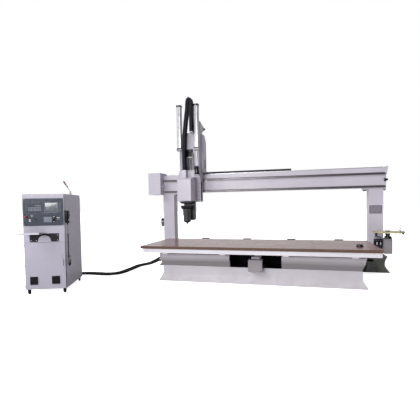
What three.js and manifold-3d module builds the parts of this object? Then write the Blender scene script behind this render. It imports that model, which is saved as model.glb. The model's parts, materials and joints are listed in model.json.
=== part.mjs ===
// A moving-table CNC router: a fixed gantry over a sliding table, a swing-head spindle, a tool disc,
// and the control cabinet that two floor conduits join to it.
// Millimetres, +Z up. X runs along the gantry beam, -Y is the operator's side, Z = 0 is the floor.
import * as THREE from 'three';
import { mergeVertices } from 'three/addons/utils/BufferGeometryUtils.js';
import Module from 'manifold-3d';

const wasm = await Module();
wasm.setup();

const GAP = 0.3;
const EPS = 1;
const FINE = 24;
const COARSE = 12;

// Beds, gantry and beam
const PLINTH_HALF = 1848;
const PLINTH_TOP = 303;
const FRONT_Y = -1574;
const REAR_Y = 870;
const PLINTH_DEPTH = 390;
const FOOT_OUT = 80;
const FOOT_HIGH = 150;
const FOOT_EDGE = 14;
const BED_TOP = 540;
const BED_HALF_TOP = 1905;
const BED_HALF_LOW = 1835;
const BED_BEVEL_TOP = 425;
const BED_OVERHANG = 66;
const BED_GAP_HALF = 480;
const WALL = 16;
const Y_RAILS = [565, 1690];
const Y_RAIL_TOP = 566;
const GANTRY_HALF = 2513;
const GANTRY_TIP = 2559;
const GANTRY_FOOT = 2604;
const GANTRY_TOP = 346;
const GANTRY_FRONT = -112;
const GANTRY_BACK = 212;
const COLUMN_X = 2339;
const COLUMN_WIDE = 282;
const COLUMN_HALF_DEEP = 107;
const COLUMN_TOP = 1746;
const BEAM_LEFT = -2471;
const BEAM_RIGHT = 2535;
const BEAM_LOW = 1785;
const BEAM_TOP = 2205;
const END_COVER = { left: -2786, front: -283, low: 1748 };
const BEAM_BACK = 133;
const X_RAIL_LOW = 1810;
const X_RAIL_HIGH = 2078;
const X_RAIL_SIZE = 34;
const X_RAIL_FACE = -136;
const RACK_FACE = 60;
const RACK_TOP = 2235;
const PINION_R = 28;
const TRAY_Y = [137, 257];
const TRAY_FLOOR = 2200;

const AIR_X = -2562;

// Table
const TABLE_X = [-2120, 2090];
const BOARD_X = [-2170, 2100];
const TABLE_FRONT = -1899;
const TABLE_BACK = -525;
const TABLE_TOP = 719;
const BOARD_THICK = 50;
const APRON_LOW = 592;
const SETTER_AT = [1815, -1470];
const SCREW_Z = 450;
const SCREW_R = 20;

// Head: X carriage, Z ram and swing spindle
const HEAD_X = -1710;
const SADDLE = { left: -1980, right: -1440, front: -322, back: -150, low: 1560, top: 2240 };
const HOUSING = { left: -1975, right: -1425, back: 118, low: 2247, top: 3147 };
const Z_SCREW_Y = -250;
const Z_SCREW_R = 16;
const CYLINDER_Y = -360;
const CYLINDER_OFF = 208;
const CYLINDER_SIZE = 108;
const CYLINDER_LOW = 2800;
const CYLINDER_TOP = 3800;
const CYLINDER_ROD_R = 11;
const Z_CHAIN_THICK = 62;
const Z_CHAIN_BEND = 38;
const Z_CHAIN_ARCH = 3872;
const X_CHAIN_THICK = 84;
const RAM = { half: 157, front: -400, back: -358, low: 1566, top: 2290, rodTop: 3250 };
const ARM_HALF = 112;
const ARM_LOW = 1138;
const ARM_RIGHT = 165;
const COVER = { half: 161, front: -700, low: 1576, top: 2070 };
const SWING_Z = 1330;
const SPINDLE_Y = -524;
const SPINDLE_R = 86;
const NOSE_Z = 1056;
const CHAIN_Y = [-500, -350];
const ARM_FRONT = -420;

// Tool disc
const DISC = { x: 2488, y: -450, low: 878, top: 900, r: 310, forks: 8, forkR: 270 };

// Control cabinet, in its own corner frame
const CABINET = { x: -3718, y: -3065, turn: 22.7, wide: 660, deep: 980, low: 86, top: 1718 };
const CABINET_ROUND = 70;
const DOOR_TOP = 898;
const PANEL = { x: [10, 650], z: [1180, 1645], thick: 8 };
const PANEL_HOLE_R = 13.5;
const E_STOP = [53, 1334];
const START = [148, 1349];
const OVERRIDE = [497, 1290];
const CASTER_R = 36;
const CASTER_TRAIL = 18;
const CASTER_INSET = 42;
const CASTER_WIDE = 26;
const CONDUIT_R = 25;
const MAST = { x: 640, y: 460, pivot: 1777, tilt: 0.547, foot: 1764 };
const PENDANT = { y: 52, wide: 100, low: 1213, top: 1430, thick: 56 };

// Floor conduits: where they leave the cabinet's back, where they enter the gantry base, and their routes
const CONDUIT_ENDS = [[-98, 130], [-20, 188]];
const CONDUIT_STARTS = [250, 170];
const CONDUIT_EXIT_Z = 130;
const FLOOR = CONDUIT_R + 2.5;
const FRONT_CONDUIT = [
  [-3878.3, -2034.5, 130], [-3901, -1980, 129], [-3930, -1912, 112], [-3957, -1845, 78], [-3973, -1770, 42],
  [-3976, -1690, FLOOR], [-3938, -1584, FLOOR], [-3828, -1474, FLOOR], [-3678, -1434, FLOOR],
  [-3480, -1432, FLOOR], [-3290, -1434, FLOOR], [-3140, -1394, FLOOR], [-3030, -1284, FLOOR],
  [-2990, -1134, FLOOR], [-2985, -900, FLOOR], [-2990, -640, FLOOR], [-3000, -400, FLOOR],
  [-2960, -250, FLOOR], [-2862, -146, 36], [-2740, -104, 76], [-2650, -98, 118], [-2600, -98, 129],
  [-2548.9, -98, 130],
];
const REAR_CONDUIT = [
  [-3952.1, -2065.4, 130], [-3975, -2011, 129], [-4006, -1937, 110], [-4034, -1862, 74], [-4052, -1780, 38],
  [-4056, -1680, FLOOR], [-4010, -1538, FLOOR], [-3870, -1404, FLOOR], [-3678, -1354, FLOOR],
  [-3480, -1352, FLOOR], [-3300, -1352, FLOOR], [-3170, -1310, FLOOR], [-3094, -1220, FLOOR],
  [-3070, -1100, FLOOR], [-3066, -900, FLOOR], [-3072, -640, FLOOR], [-3080, -400, FLOOR],
  [-3030, -210, FLOOR], [-2900, -76, 50], [-2770, -28, 112], [-2670, -20, 166], [-2610, -20, 186],
  [-2548.9, -20, 188],
];

const PAINT = { color: 0xcbc6d3, roughness: 0.5, metalness: 0.1 };
const DARK_PAINT = { color: 0x626862, roughness: 0.6, metalness: 0.1 };
const STEEL = { color: 0xa8a8ac, roughness: 0.3, metalness: 0.9 };
const ALUMINIUM = { color: 0xd2d2d6, roughness: 0.35, metalness: 0.8 };
const BLACK = { color: 0x1d1e21, roughness: 0.5, metalness: 0.1 };
const RUBBER = { color: 0x141416, roughness: 0.8, metalness: 0 };
const BOARD = { color: 0x96685a, roughness: 0.2, metalness: 0 };
const YELLOW = { color: 0xd8cf8e, roughness: 0.5, metalness: 0.1 };
const NAVY = { color: 0x2e3240, roughness: 0.5, metalness: 0 };
const RED = { color: 0xc2263a, roughness: 0.4, metalness: 0 };
const GREEN = { color: 0x2c9c58, roughness: 0.4, metalness: 0 };
const SMOKE = { color: 0x8d8d92, roughness: 0.2, metalness: 0 };

// ---------------------------------------------------------------- shape helpers

function box(x, y, z) {
  const geometry = new THREE.BoxGeometry(x[1] - x[0], y[1] - y[0], z[1] - z[0]);
  return geometry.translate((x[0] + x[1]) / 2, (y[0] + y[1]) / 2, (z[0] + z[1]) / 2);
}

// A cylinder along an axis, from one end point, with its centre line through at.
function rod(axis, at, from, to, radius, sides = FINE) {
  const geometry = new THREE.CylinderGeometry(radius, radius, to - from, sides);
  const middle = (from + to) / 2;
  if (axis === 'x') {
    return geometry.rotateZ(Math.PI / 2).translate(middle, at[0], at[1]);
  }
  if (axis === 'z') {
    return geometry.rotateX(Math.PI / 2).translate(at[0], at[1], middle);
  }
  return geometry.translate(at[0], middle, at[1]);
}

// A profile of [radius, z] pairs turned about a vertical line.
function turned(points, x, y, sides = FINE) {
  const profile = points.map(([radius, z]) => new THREE.Vector2(radius, z));
  return new THREE.LatheGeometry(profile, sides).rotateX(Math.PI / 2).translate(x, y, 0);
}

function extrude(shape, depth) {
  return new THREE.ExtrudeGeometry(shape, { depth, bevelEnabled: false, curveSegments: 8 });
}

function outline(points) {
  return new THREE.Shape(points.map(([a, b]) => new THREE.Vector2(a, b)));
}

// An outline of [x, z] points carried from y[0] to y[1].
function prismY(shape, y) {
  return extrude(shape, y[1] - y[0]).rotateX(Math.PI / 2).translate(0, y[1], 0);
}

// An outline of [y, z] points carried from x[0] to x[1].
function prismX(shape, x) {
  const turn = new THREE.Matrix4().makeBasis(
    new THREE.Vector3(0, 1, 0),
    new THREE.Vector3(0, 0, 1),
    new THREE.Vector3(1, 0, 0),
  );
  return extrude(shape, x[1] - x[0]).applyMatrix4(turn).translate(x[0], 0, 0);
}

function prismZ(shape, z) {
  return extrude(shape, z[1] - z[0]).translate(0, 0, z[0]);
}

// A closed body through a pile of rectangles, each { z, x: [low, high], y: [low, high] }.
function pile(levels) {
  const position = [];
  const index = [];
  levels.forEach(({ z, x, y }) => {
    position.push(x[0], y[0], z, x[1], y[0], z, x[1], y[1], z, x[0], y[1], z);
  });
  for (let level = 0; level < levels.length - 1; level += 1) {
    for (let side = 0; side < 4; side += 1) {
      const a = level * 4 + side;
      const b = level * 4 + ((side + 1) % 4);
      index.push(a, b, b + 4, a, b + 4, a + 4);
    }
  }
  const top = (levels.length - 1) * 4;
  index.push(0, 2, 1, 0, 3, 2, top, top + 1, top + 2, top, top + 2, top + 3);
  const geometry = new THREE.BufferGeometry();
  geometry.setAttribute('position', new THREE.Float32BufferAttribute(position, 3));
  geometry.setIndex(index);
  return geometry;
}

function roundedRect(width, height, radius) {
  const [w, h] = [width / 2, height / 2];
  const shape = new THREE.Shape();
  shape.moveTo(-w + radius, -h);
  shape.lineTo(w - radius, -h);
  shape.absarc(w - radius, -h + radius, radius, -Math.PI / 2, 0);
  shape.lineTo(w, h - radius);
  shape.absarc(w - radius, h - radius, radius, 0, Math.PI / 2);
  shape.lineTo(-w + radius, h);
  shape.absarc(-w + radius, h - radius, radius, Math.PI / 2, Math.PI);
  shape.lineTo(-w, -h + radius);
  shape.absarc(-w + radius, -h + radius, radius, Math.PI, 1.5 * Math.PI);
  return shape;
}

function tube(points, radius, sides, steps) {
  const curve = new THREE.CatmullRomCurve3(points.map((p) => new THREE.Vector3(...p)), false, 'centripetal');
  const section = new THREE.Shape();
  for (let side = 0; side < sides; side += 1) {
    const angle = (side / sides) * 2 * Math.PI;
    const [a, b] = [radius * Math.cos(angle), radius * Math.sin(angle)];
    if (side === 0) {
      section.moveTo(a, b);
    } else {
      section.lineTo(a, b);
    }
  }
  return new THREE.ExtrudeGeometry(section, { steps, extrudePath: curve, bevelEnabled: false });
}

function solid(geometry) {
  const bare = geometry.clone();
  bare.deleteAttribute('normal');
  bare.deleteAttribute('uv');
  const merged = mergeVertices(bare, 1e-3);
  const vertProperties = new Float32Array(merged.attributes.position.array);
  const triVerts = new Uint32Array(merged.index.array);
  return new wasm.Manifold(new wasm.Mesh({ numProp: 3, vertProperties, triVerts }));
}

function meshed(manifold) {
  const mesh = manifold.getMesh();
  const geometry = new THREE.BufferGeometry();
  geometry.setAttribute('position', new THREE.BufferAttribute(mesh.vertProperties, 3));
  geometry.setIndex(new THREE.BufferAttribute(mesh.triVerts, 1));
  return geometry;
}

function join(first, ...rest) {
  return meshed(rest.reduce((sum, geometry) => sum.add(solid(geometry)), solid(first)));
}

function cut(first, ...rest) {
  return meshed(rest.reduce((sum, geometry) => sum.subtract(solid(geometry)), solid(first)));
}

function add(group, name, geometry, look) {
  const mesh = new THREE.Mesh(geometry, new THREE.MeshStandardMaterial(look));
  mesh.name = name;
  mesh.geometry.computeVertexNormals();
  group.add(mesh);
}

// Levels of a foot that flares out to the floor in an almost straight slope.
function flare(xHalf, y, outX, outFront, outBack) {
  const levels = [];
  const at = (z, share) => ({
    z,
    x: [-xHalf - outX * share, xHalf + outX * share],
    y: [y[0] - outFront * share, y[1] + outBack * share],
  });
  levels.push(at(0, 1));
  levels.push(at(FOOT_EDGE, 1));
  for (let step = 1; step <= 4; step += 1) {
    const rise = step / 4;
    levels.push(at(FOOT_EDGE + (FOOT_HIGH - FOOT_EDGE) * rise, (1 - rise) ** 1.2));
  }
  return levels;
}

// ---------------------------------------------------------------- beds and gantry

function plinth(y, outFront, outBack) {
  const levels = flare(PLINTH_HALF, y, FOOT_OUT, outFront, outBack);
  levels.push({ z: PLINTH_TOP, x: [-PLINTH_HALF, PLINTH_HALF], y });
  const hollow = box(
    [-PLINTH_HALF + WALL, PLINTH_HALF - WALL],
    [y[0] + WALL, y[1] - WALL],
    [-EPS, PLINTH_TOP - WALL],
  );
  const supportY = outFront > 0 ? [y[0] + 6, y[0] + 66] : [y[1] - 66, y[1] - 6];
  const support = box([-75, 75], supportY, [PLINTH_TOP - WALL / 2, SCREW_Z + 55]);
  const journal = rod('y', [0, SCREW_Z], supportY[0] - EPS, supportY[1] + EPS, SCREW_R + 1);
  return cut(join(cut(pile(levels), hollow), support), journal);
}

// One half of the bed: a box beam with a bevelled front and end, open at the back, with two Y rails.
function bedHalf(side) {
  const inner = side * BED_GAP_HALF;
  const span = (outer) => [Math.min(inner, side * outer), Math.max(inner, side * outer)];
  const front = FRONT_Y - BED_OVERHANG;
  const body = pile([
    { z: PLINTH_TOP + GAP, x: span(BED_HALF_LOW), y: [FRONT_Y, REAR_Y] },
    { z: BED_BEVEL_TOP, x: span(BED_HALF_TOP - 25), y: [front + 4, REAR_Y] },
    { z: BED_TOP, x: span(BED_HALF_TOP), y: [front, REAR_Y] },
  ]);
  const cavityX = [BED_GAP_HALF + WALL, BED_HALF_LOW - WALL].map((x) => side * x).sort((a, b) => a - b);
  const cavity = box(cavityX, [FRONT_Y + WALL, REAR_Y + EPS], [PLINTH_TOP + 60, BED_TOP - WALL]);
  const saddleway = box(
    [-BED_HALF_TOP, BED_HALF_TOP],
    [GANTRY_FRONT - 40, GANTRY_BACK + 30],
    [0, GANTRY_TOP + GAP],
  );
  const rails = Y_RAILS.map((x) => box(
    [side * x - 17, side * x + 17],
    [front + 20, REAR_Y - 10],
    [BED_TOP - 5, Y_RAIL_TOP],
  ));
  return join(cut(body, cavity, saddleway), ...rails);
}

function gantryBase() {
  const y = [GANTRY_FRONT, GANTRY_BACK];
  const levels = flare(GANTRY_HALF, y, GANTRY_FOOT - GANTRY_HALF, 22, 22);
  levels.push({ z: 205, x: [-GANTRY_HALF, GANTRY_HALF], y });
  levels.push({ z: 270, x: [-GANTRY_HALF - 16, GANTRY_HALF + 16], y });
  levels.push({ z: GANTRY_TOP - 18, x: [-GANTRY_TIP, GANTRY_TIP], y });
  levels.push({ z: GANTRY_TOP, x: [-GANTRY_TIP, GANTRY_TIP], y });
  const pocket = (x) => box(x, [y[0] + WALL, y[1] - WALL], [-EPS, GANTRY_TOP - 2 * WALL]);
  const glands = CONDUIT_ENDS.map(([yAt, z]) => rod('x', [yAt, z], -GANTRY_HALF - 35, -GANTRY_HALF + 10, 34));
  const body = cut(pile(levels), pocket([-2400, -150]), pocket([150, 2400]));
  return join(body, ...glands);
}

function column(side) {
  const x = side * COLUMN_X;
  const half = COLUMN_WIDE / 2;
  const deep = [-COLUMN_HALF_DEEP, COLUMN_HALF_DEEP];
  const wide = side > 0 ? [x - 244, x + 191] : [x - 128, x + 244];
  const foot = box([x - half - 28, x + half + 28], [deep[0], deep[1] + 90], [GANTRY_TOP + GAP, 368]);
  const shaft = box([x - half, x + half], deep, [GANTRY_TOP + GAP, COLUMN_TOP + 1]);
  const head = box(wide, [deep[0], deep[1] + 20], [COLUMN_TOP, BEAM_LOW - GAP]);
  const hollow = box([x - half + 14, x + half - 14], [deep[0] + 14, deep[1] - 14], [380, BEAM_LOW]);
  return cut(join(foot, shaft, head), hollow);
}

function beam() {
  const [front, back] = [-COLUMN_HALF_DEEP, BEAM_BACK];
  const shape = outline([
    [front, BEAM_LOW], [back - 40, BEAM_LOW], [back, BEAM_LOW + 40],
    [back, BEAM_TOP], [front, BEAM_TOP],
  ]);
  const hole = [
    [front + 18, BEAM_LOW + 18], [front + 18, BEAM_TOP - 18],
    [back - 18, BEAM_TOP - 18], [back - 18, BEAM_LOW + 52], [back - 52, BEAM_LOW + 18],
  ];
  shape.holes.push(outline(hole));
  return prismX(shape, [BEAM_LEFT, BEAM_RIGHT]);
}

function xRail(z) {
  const half = X_RAIL_SIZE / 2;
  return box([BEAM_LEFT + 20, BEAM_RIGHT - 20], [X_RAIL_FACE, -COLUMN_HALF_DEEP - GAP], [z - half, z + half]);
}

// An L-shaped sheet tray behind the beam, closed at its right end by a tapered cap.
function chainTray() {
  const [front, back] = TRAY_Y;
  const floor = box([BEAM_LEFT + 60, BEAM_RIGHT], [BEAM_BACK + GAP, back], [TRAY_FLOOR, TRAY_FLOOR + 5]);
  const wall = box([BEAM_LEFT + 60, BEAM_RIGHT], [back - 4, back], [TRAY_FLOOR, TRAY_FLOOR + 46]);
  const lip = box([BEAM_LEFT + 60, BEAM_RIGHT], [BEAM_BACK + GAP, front], [TRAY_FLOOR - 60, TRAY_FLOOR + 5]);
  const cap = prismY(
    outline([[BEAM_RIGHT + GAP, 2060], [BEAM_RIGHT + 12, 2060], [2575, 2232], [BEAM_RIGHT + GAP, 2232]]),
    [-COLUMN_HALF_DEEP, back],
  );
  const bridge = box([BEAM_RIGHT - 5, BEAM_RIGHT + 5], [front, back], [TRAY_FLOOR, TRAY_FLOOR + 30]);
  return join(floor, wall, lip, cap, bridge);
}

// The lower strand of the cable chain, with the half loop at its left end.
function xChain() {
  const [front, back] = [TRAY_Y[0] + 12, TRAY_Y[1] - 12];
  const low = TRAY_FLOOR + 5.5;
  return box([-2040, 605], [front, back], [low, low + X_CHAIN_THICK]);
}

function beamEndCover() {
  const shell = box([END_COVER.left, BEAM_LEFT - GAP], [END_COVER.front, 110], [END_COVER.low, 2272]);
  const hollow = box([END_COVER.left + 10, BEAM_LEFT - 14], [END_COVER.front + 10, 100], [END_COVER.low + 10, 2262]);
  const mouth = box([BEAM_LEFT - 20, BEAM_LEFT + 10], [-80, 90], [BEAM_LOW + 40, BEAM_TOP - 30]);
  const bumper = rod('x', [-180, 1950], BEAM_LEFT - 8, BEAM_LEFT + 40, 24, COARSE);
  return join(cut(shell, hollow, mouth), bumper);
}

function valveBlock() {
  const y = [-COLUMN_HALF_DEEP - 46, -COLUMN_HALF_DEEP - GAP];
  const body = box([2295, 2467], y, [504, 711]);
  const valves = [0, 1, 2, 3].map((i) => box(
    [2306 + i * 40, 2338 + i * 40],
    [y[0] - 34, y[0] + 5],
    [530, 680],
  ));
  return join(body, ...valves);
}

function airUnit() {
  const x = AIR_X;
  const bracket = box([x, -COLUMN_X - COLUMN_WIDE / 2 - GAP], [-40, 40], [1075, 1095]);
  const body = turned([
    [0, 952], [30, 958], [40, 985], [40, 1050], [44, 1052], [44, 1126], [0, 1126],
  ], x, 0);
  return join(body, bracket);
}

function regulatorKnob() {
  return rod('z', [AIR_X, 0], 1126 + GAP, 1168, 32);
}

function motorCover() {
  const y = [-1712, FRONT_Y - GAP];
  const shell = box([-115, 139], y, [254, 470]);
  const hollow = box([-107, 131], [y[0] + 8, y[1] + EPS], [262, 462]);
  return cut(shell, hollow);
}

function magazinePost() {
  const { x, y, low } = DISC;
  const post = box([x - 71, x + 71], [y - 70, y + 70], [457, 755]);
  const columnSide = COLUMN_X + COLUMN_WIDE / 2;
  const arm = box([columnSide + GAP, columnSide + 72], [y + 60, 85], [500, 620]);
  const drive = rod('z', [x, y], 750, 806, 54);
  const stem = rod('z', [x, y], 800, low - GAP, 38);
  return join(post, arm, drive, stem);
}

// ---------------------------------------------------------------- table

function tableFrame() {
  const y = [TABLE_FRONT + 12, TABLE_BACK - 12];
  const top = TABLE_TOP - BOARD_THICK - GAP;
  const tray = box(TABLE_X, y, [APRON_LOW, top]);
  const bays = [];
  const pitch = (TABLE_X[1] - TABLE_X[0]) / 6;
  for (let bay = 0; bay < 6; bay += 1) {
    const left = TABLE_X[0] + bay * pitch;
    bays.push(box([left + 40, left + pitch - 40], [y[0] + 60, y[1] - 60], [APRON_LOW - EPS, top - 12]));
  }
  const blocks = [];
  [-1, 1].forEach((side) => Y_RAILS.forEach((x) => [y[0] + 30, y[1] - 210].forEach((start) => {
    blocks.push(box([side * x - 50, side * x + 50], [start, start + 180], [Y_RAIL_TOP + 1, APRON_LOW + 30]));
  })));
  const middle = (y[0] + y[1]) / 2;
  const nut = box([-60, 60], [middle - 60, middle + 60], [SCREW_Z - 48, top - 5]);
  const bore = rod('y', [0, SCREW_Z], middle - 61, middle + 61, SCREW_R + 0.6);
  return cut(join(cut(tray, ...bays), ...blocks, nut), bore);
}

function tableBoard() {
  return box(BOARD_X, [TABLE_FRONT, TABLE_BACK], [TABLE_TOP - BOARD_THICK, TABLE_TOP]);
}

function toolSetter() {
  const well = rod('z', SETTER_AT, TABLE_TOP + 5, TABLE_TOP + 21, 19);
  return cut(rod('z', SETTER_AT, TABLE_TOP + GAP, TABLE_TOP + 20, 60), well);
}

// ---------------------------------------------------------------- head

function saddle() {
  const { left, right, front, back, low, top } = SADDLE;
  const plate = box([left, right], [front, back], [low, top]);
  const recess = box([left - EPS, right + EPS], [back - 40, back + EPS], [BEAM_LOW + 110, X_RAIL_HIGH - 70]);
  const blocks = [];
  [X_RAIL_LOW, X_RAIL_HIGH].forEach((z) => [left + 30, right - 150].forEach((x) => {
    blocks.push(box([x, x + 120], [back - 5, -COLUMN_HALF_DEEP - 6], [z - 42, z + 42]));
  }));
  const rails = [X_RAIL_LOW, X_RAIL_HIGH].map((z) => box(
    [left - EPS, right + EPS],
    [X_RAIL_FACE - 1.5, 0],
    [z - X_RAIL_SIZE / 2 - 1.5, z + X_RAIL_SIZE / 2 + 1.5],
  ));
  const cheeks = [-1, 1].map((side) => box(
    [HEAD_X + side * 108 - 15, HEAD_X + side * 108 + 15],
    [front - 26, front + 5],
    [low + 40, top],
  ));
  const channel = box([HEAD_X - 75, HEAD_X + 75], [front - EPS, Z_SCREW_Y + 45], [low + 120, top + EPS]);
  return cut(join(cut(plate, recess, channel), ...blocks, ...cheeks), ...rails);
}

// The fixed tower over the saddle: a front channel that carries the Z rails, a deep rear housing with
// a chamfered top, and a hose duct on top of it.
function zColumn() {
  const { left, right, back, low, top } = HOUSING;
  const base = SADDLE.top + GAP;
  const shape = outline([
    [SADDLE.back, low], [back, low], [back, top - 150], [back - 110, top], [SADDLE.back, top],
  ]);
  const housing = prismX(shape, [left, right]);
  const hollow = box([left + 12, right - 12], [SADDLE.back + 12, back - 12], [low - EPS, top - 170]);
  const front = box([HEAD_X - 240, HEAD_X + 240], [SADDLE.front, SADDLE.back + 12], [base, 2780]);
  const upper = box([HEAD_X - 240, HEAD_X + 240], [-294, SADDLE.back + 12], [2780 - EPS, top]);
  const upperHollow = box([HEAD_X - 228, HEAD_X + 228], [-282, SADDLE.back + 20], [2800, top - 180]);
  const channel = box([HEAD_X - 75, HEAD_X + 75], [SADDLE.front - EPS, Z_SCREW_Y + 45], [base - EPS, 2590]);
  const motorBay = box([HEAD_X - 95, HEAD_X + 95], [SADDLE.front - EPS, Z_SCREW_Y + 95], [2590, 2781]);
  const cheeks = [-1, 1].map((side) => box(
    [HEAD_X + side * 108 - 15, HEAD_X + side * 108 + 15],
    [SADDLE.front - 26, SADDLE.front + 5],
    [base, 2700],
  ));
  const shelves = [-1, 1].map((side) => box(
    [HEAD_X + side * CYLINDER_OFF - 66, HEAD_X + side * CYLINDER_OFF + 66],
    [CYLINDER_Y - 62, SADDLE.front + 20],
    [2756, 2780],
  ));
  const rodHoles = [-1, 1].map((side) => rod('z', [HEAD_X + side * CYLINDER_OFF, CYLINDER_Y], 2750, 2785, 16));
  const duct = outline([
    [-210, top - 30], [-60, top - 30], [-30, top + 78], [back - 2, top + 143], [back - 2, top + 205],
    [-210, top + 300],
  ]);
  const hood = prismX(duct, [right - 200, right - 40]);
  const body = cut(join(housing, front, upper), hollow, upperHollow, channel, motorBay);
  return cut(join(body, ...cheeks, ...shelves, hood), ...rodHoles);
}

function zMotor() {
  const flange = box([HEAD_X - 80, HEAD_X + 80], [Z_SCREW_Y - 70, Z_SCREW_Y + 80], [2592, 2612]);
  const body = box([HEAD_X - 68, HEAD_X + 68], [Z_SCREW_Y - 66, Z_SCREW_Y + 68], [2610, 2775]);
  return join(flange, body);
}

function zMotorCover() {
  const shell = box([HEAD_X - 86, HEAD_X + 142], [-345, -294 - GAP], [2781, 3158]);
  const hollow = box([HEAD_X - 80, HEAD_X + 136], [-339, -293], [2787, 3152]);
  const chainShelf = box([HEAD_X + 78, HEAD_X + 151], [CHAIN_Y[0], -343], [3140, 3158]);
  return join(cut(shell, hollow), chainShelf);
}

function cylinder(side) {
  const x = HEAD_X + side * CYLINDER_OFF;
  const half = CYLINDER_SIZE / 2;
  const tubeShape = roundedRect(CYLINDER_SIZE, CYLINDER_SIZE, 22);
  const barrel = prismZ(tubeShape, [CYLINDER_LOW, CYLINDER_TOP - 20]).translate(x, CYLINDER_Y, 0);
  const flange = box([x - 62, x + 62], [CYLINDER_Y - 62, CYLINDER_Y + 62], [2780 + GAP, CYLINDER_LOW + 22]);
  const cap = box([x - half - 6, x + half + 6], [CYLINDER_Y - half - 6, CYLINDER_Y + half + 6], [CYLINDER_TOP - 42, CYLINDER_TOP]);
  const bore = rod('z', [x, CYLINDER_Y], 2770, CYLINDER_TOP - 60, 14);
  return cut(join(barrel, flange, cap), bore);
}

// The upright cable chain: up from the ram, over a tight loop and down to the motor cover.
function zChain() {
  const middle = HEAD_X + 70;
  const inner = middle + Z_CHAIN_BEND;
  const arc = [180, 135, 90, 45, 0].map((a) => a * (Math.PI / 180)).map((a) => (
    [middle + Z_CHAIN_BEND * Math.cos(a), Z_CHAIN_ARCH + Z_CHAIN_BEND * Math.sin(a)]));
  const points = [
    [HEAD_X - 77, 2291.5], [HEAD_X - 77, 2650], [HEAD_X - 62, 3050], [HEAD_X - 23, 3410], [HEAD_X + 12, 3655],
    ...arc, [inner, 3600], [inner, 3158.5],
  ];
  const curve = new THREE.CatmullRomCurve3(points.map(([x, z]) => new THREE.Vector3(x, z, 0)), false, 'centripetal');
  const spine = curve.getPoints(52);
  const edge = (offset) => spine.map((p, i) => {
    const before = spine[Math.max(i - 1, 0)];
    const after = spine[Math.min(i + 1, spine.length - 1)];
    const [dx, dz] = [after.x - before.x, after.y - before.y];
    const long = Math.hypot(dx, dz);
    return [p.x - (dz / long) * offset, p.y + (dx / long) * offset];
  });
  const shape = outline([...edge(Z_CHAIN_THICK / 2), ...edge(-Z_CHAIN_THICK / 2).reverse()]);
  return prismY(shape, CHAIN_Y);
}

function ram() {
  const { half, front, back, low, top, rodTop } = RAM;
  const plate = box([HEAD_X - half, HEAD_X + half], [front, back], [low, top]);
  const crossbar = box(
    [HEAD_X - CYLINDER_OFF - 30, HEAD_X + CYLINDER_OFF + 30],
    [CYLINDER_Y - 30, CYLINDER_Y + 10],
    [top - 70, top - 20],
  );
  const rods = [-1, 1].map((side) => rod(
    'z',
    [HEAD_X + side * CYLINDER_OFF, CYLINDER_Y],
    top - 40,
    rodTop,
    CYLINDER_ROD_R,
    COARSE,
  ));
  const chainFoot = box([HEAD_X - 121, HEAD_X - 33], [CHAIN_Y[0], CHAIN_Y[1] - 2], [top - 60, top]);
  const nutArm = box([HEAD_X - 50, HEAD_X + 50], [back - 5, Z_SCREW_Y - 35], [top - 90, top - 20]);
  const nut = rod('z', [HEAD_X, Z_SCREW_Y], top - 110, top, 40);
  const bore = rod('z', [HEAD_X, Z_SCREW_Y], top - 120, top + 10, Z_SCREW_R + 0.6);
  const swing = prismY(outline([
    [HEAD_X - ARM_HALF, low + 4], [HEAD_X - ARM_HALF, ARM_LOW + 100], [HEAD_X - ARM_HALF + 34, ARM_LOW + 24],
    [HEAD_X - 46, ARM_LOW], [HEAD_X + ARM_RIGHT - 38, ARM_LOW], [HEAD_X + ARM_RIGHT - 10, ARM_LOW + 12],
    [HEAD_X + ARM_RIGHT, ARM_LOW + 40], [HEAD_X + ARM_RIGHT, low + 4],
  ]), [ARM_FRONT, -372]);
  const neck = pile([
    { z: 1520, x: [HEAD_X - 94, HEAD_X + 94], y: [-612, -372] },
    { z: 1548, x: [HEAD_X - 120, HEAD_X + 120], y: [-645, -372] },
    { z: low + 4, x: [HEAD_X - 120, HEAD_X + 120], y: [-645, -372] },
  ]);
  const flange = rod('y', [HEAD_X, SWING_Z], ARM_FRONT - 14, ARM_FRONT + 10, 74);
  return cut(join(plate, crossbar, ...rods, chainFoot, nutArm, nut, swing, neck, flange), bore);
}

function headCover() {
  const { half, front, low, top } = COVER;
  const rear = RAM.front - GAP;
  const slope = outline([[front, low], [rear, low], [rear, top + 70], [front + 90, top + 20], [front, top - 8]]);
  const shell = prismX(slope, [HEAD_X - half, HEAD_X + half]);
  const hollow = box([HEAD_X - half + 6, HEAD_X + half - 6], [front + 6, rear + EPS], [low + 6, top - 20]);
  return cut(shell, hollow);
}

// The spindle hangs in front of the swing axis, nose down.
function spindleHousing() {
  const body = turned([
    [0, SWING_Z - 236], [60, SWING_Z - 236], [SPINDLE_R, SWING_Z - 192],
    [SPINDLE_R, SWING_Z + 120], [70, SWING_Z + 146], [0, SWING_Z + 146],
  ], HEAD_X, SPINDLE_Y);
  const mount = box([HEAD_X - 78, HEAD_X + 78], [SPINDLE_Y + 20, ARM_FRONT - 14 - GAP], [SWING_Z - 120, SWING_Z + 120]);
  const collar = pile([
    { z: SWING_Z + 64, x: [HEAD_X - SPINDLE_R, HEAD_X + SPINDLE_R], y: [SPINDLE_Y - SPINDLE_R, -440] },
    { z: SWING_Z + 102, x: [HEAD_X - 106, HEAD_X + 106], y: [-630, -440] },
    { z: SWING_Z + 145, x: [HEAD_X - 106, HEAD_X + 106], y: [-630, -440] },
  ]);
  const bore = rod('z', [HEAD_X, SPINDLE_Y], SWING_Z - 240, SWING_Z - 60, 37);
  return cut(join(body, mount, collar), bore);
}

function spindleShaft() {
  return turned([
    [0, NOSE_Z], [17, NOSE_Z], [26, NOSE_Z + 12], [31, NOSE_Z + 44], [31, NOSE_Z + 52],
    [36, NOSE_Z + 52], [36, SWING_Z - 70], [0, SWING_Z - 70],
  ], HEAD_X, SPINDLE_Y);
}

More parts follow.
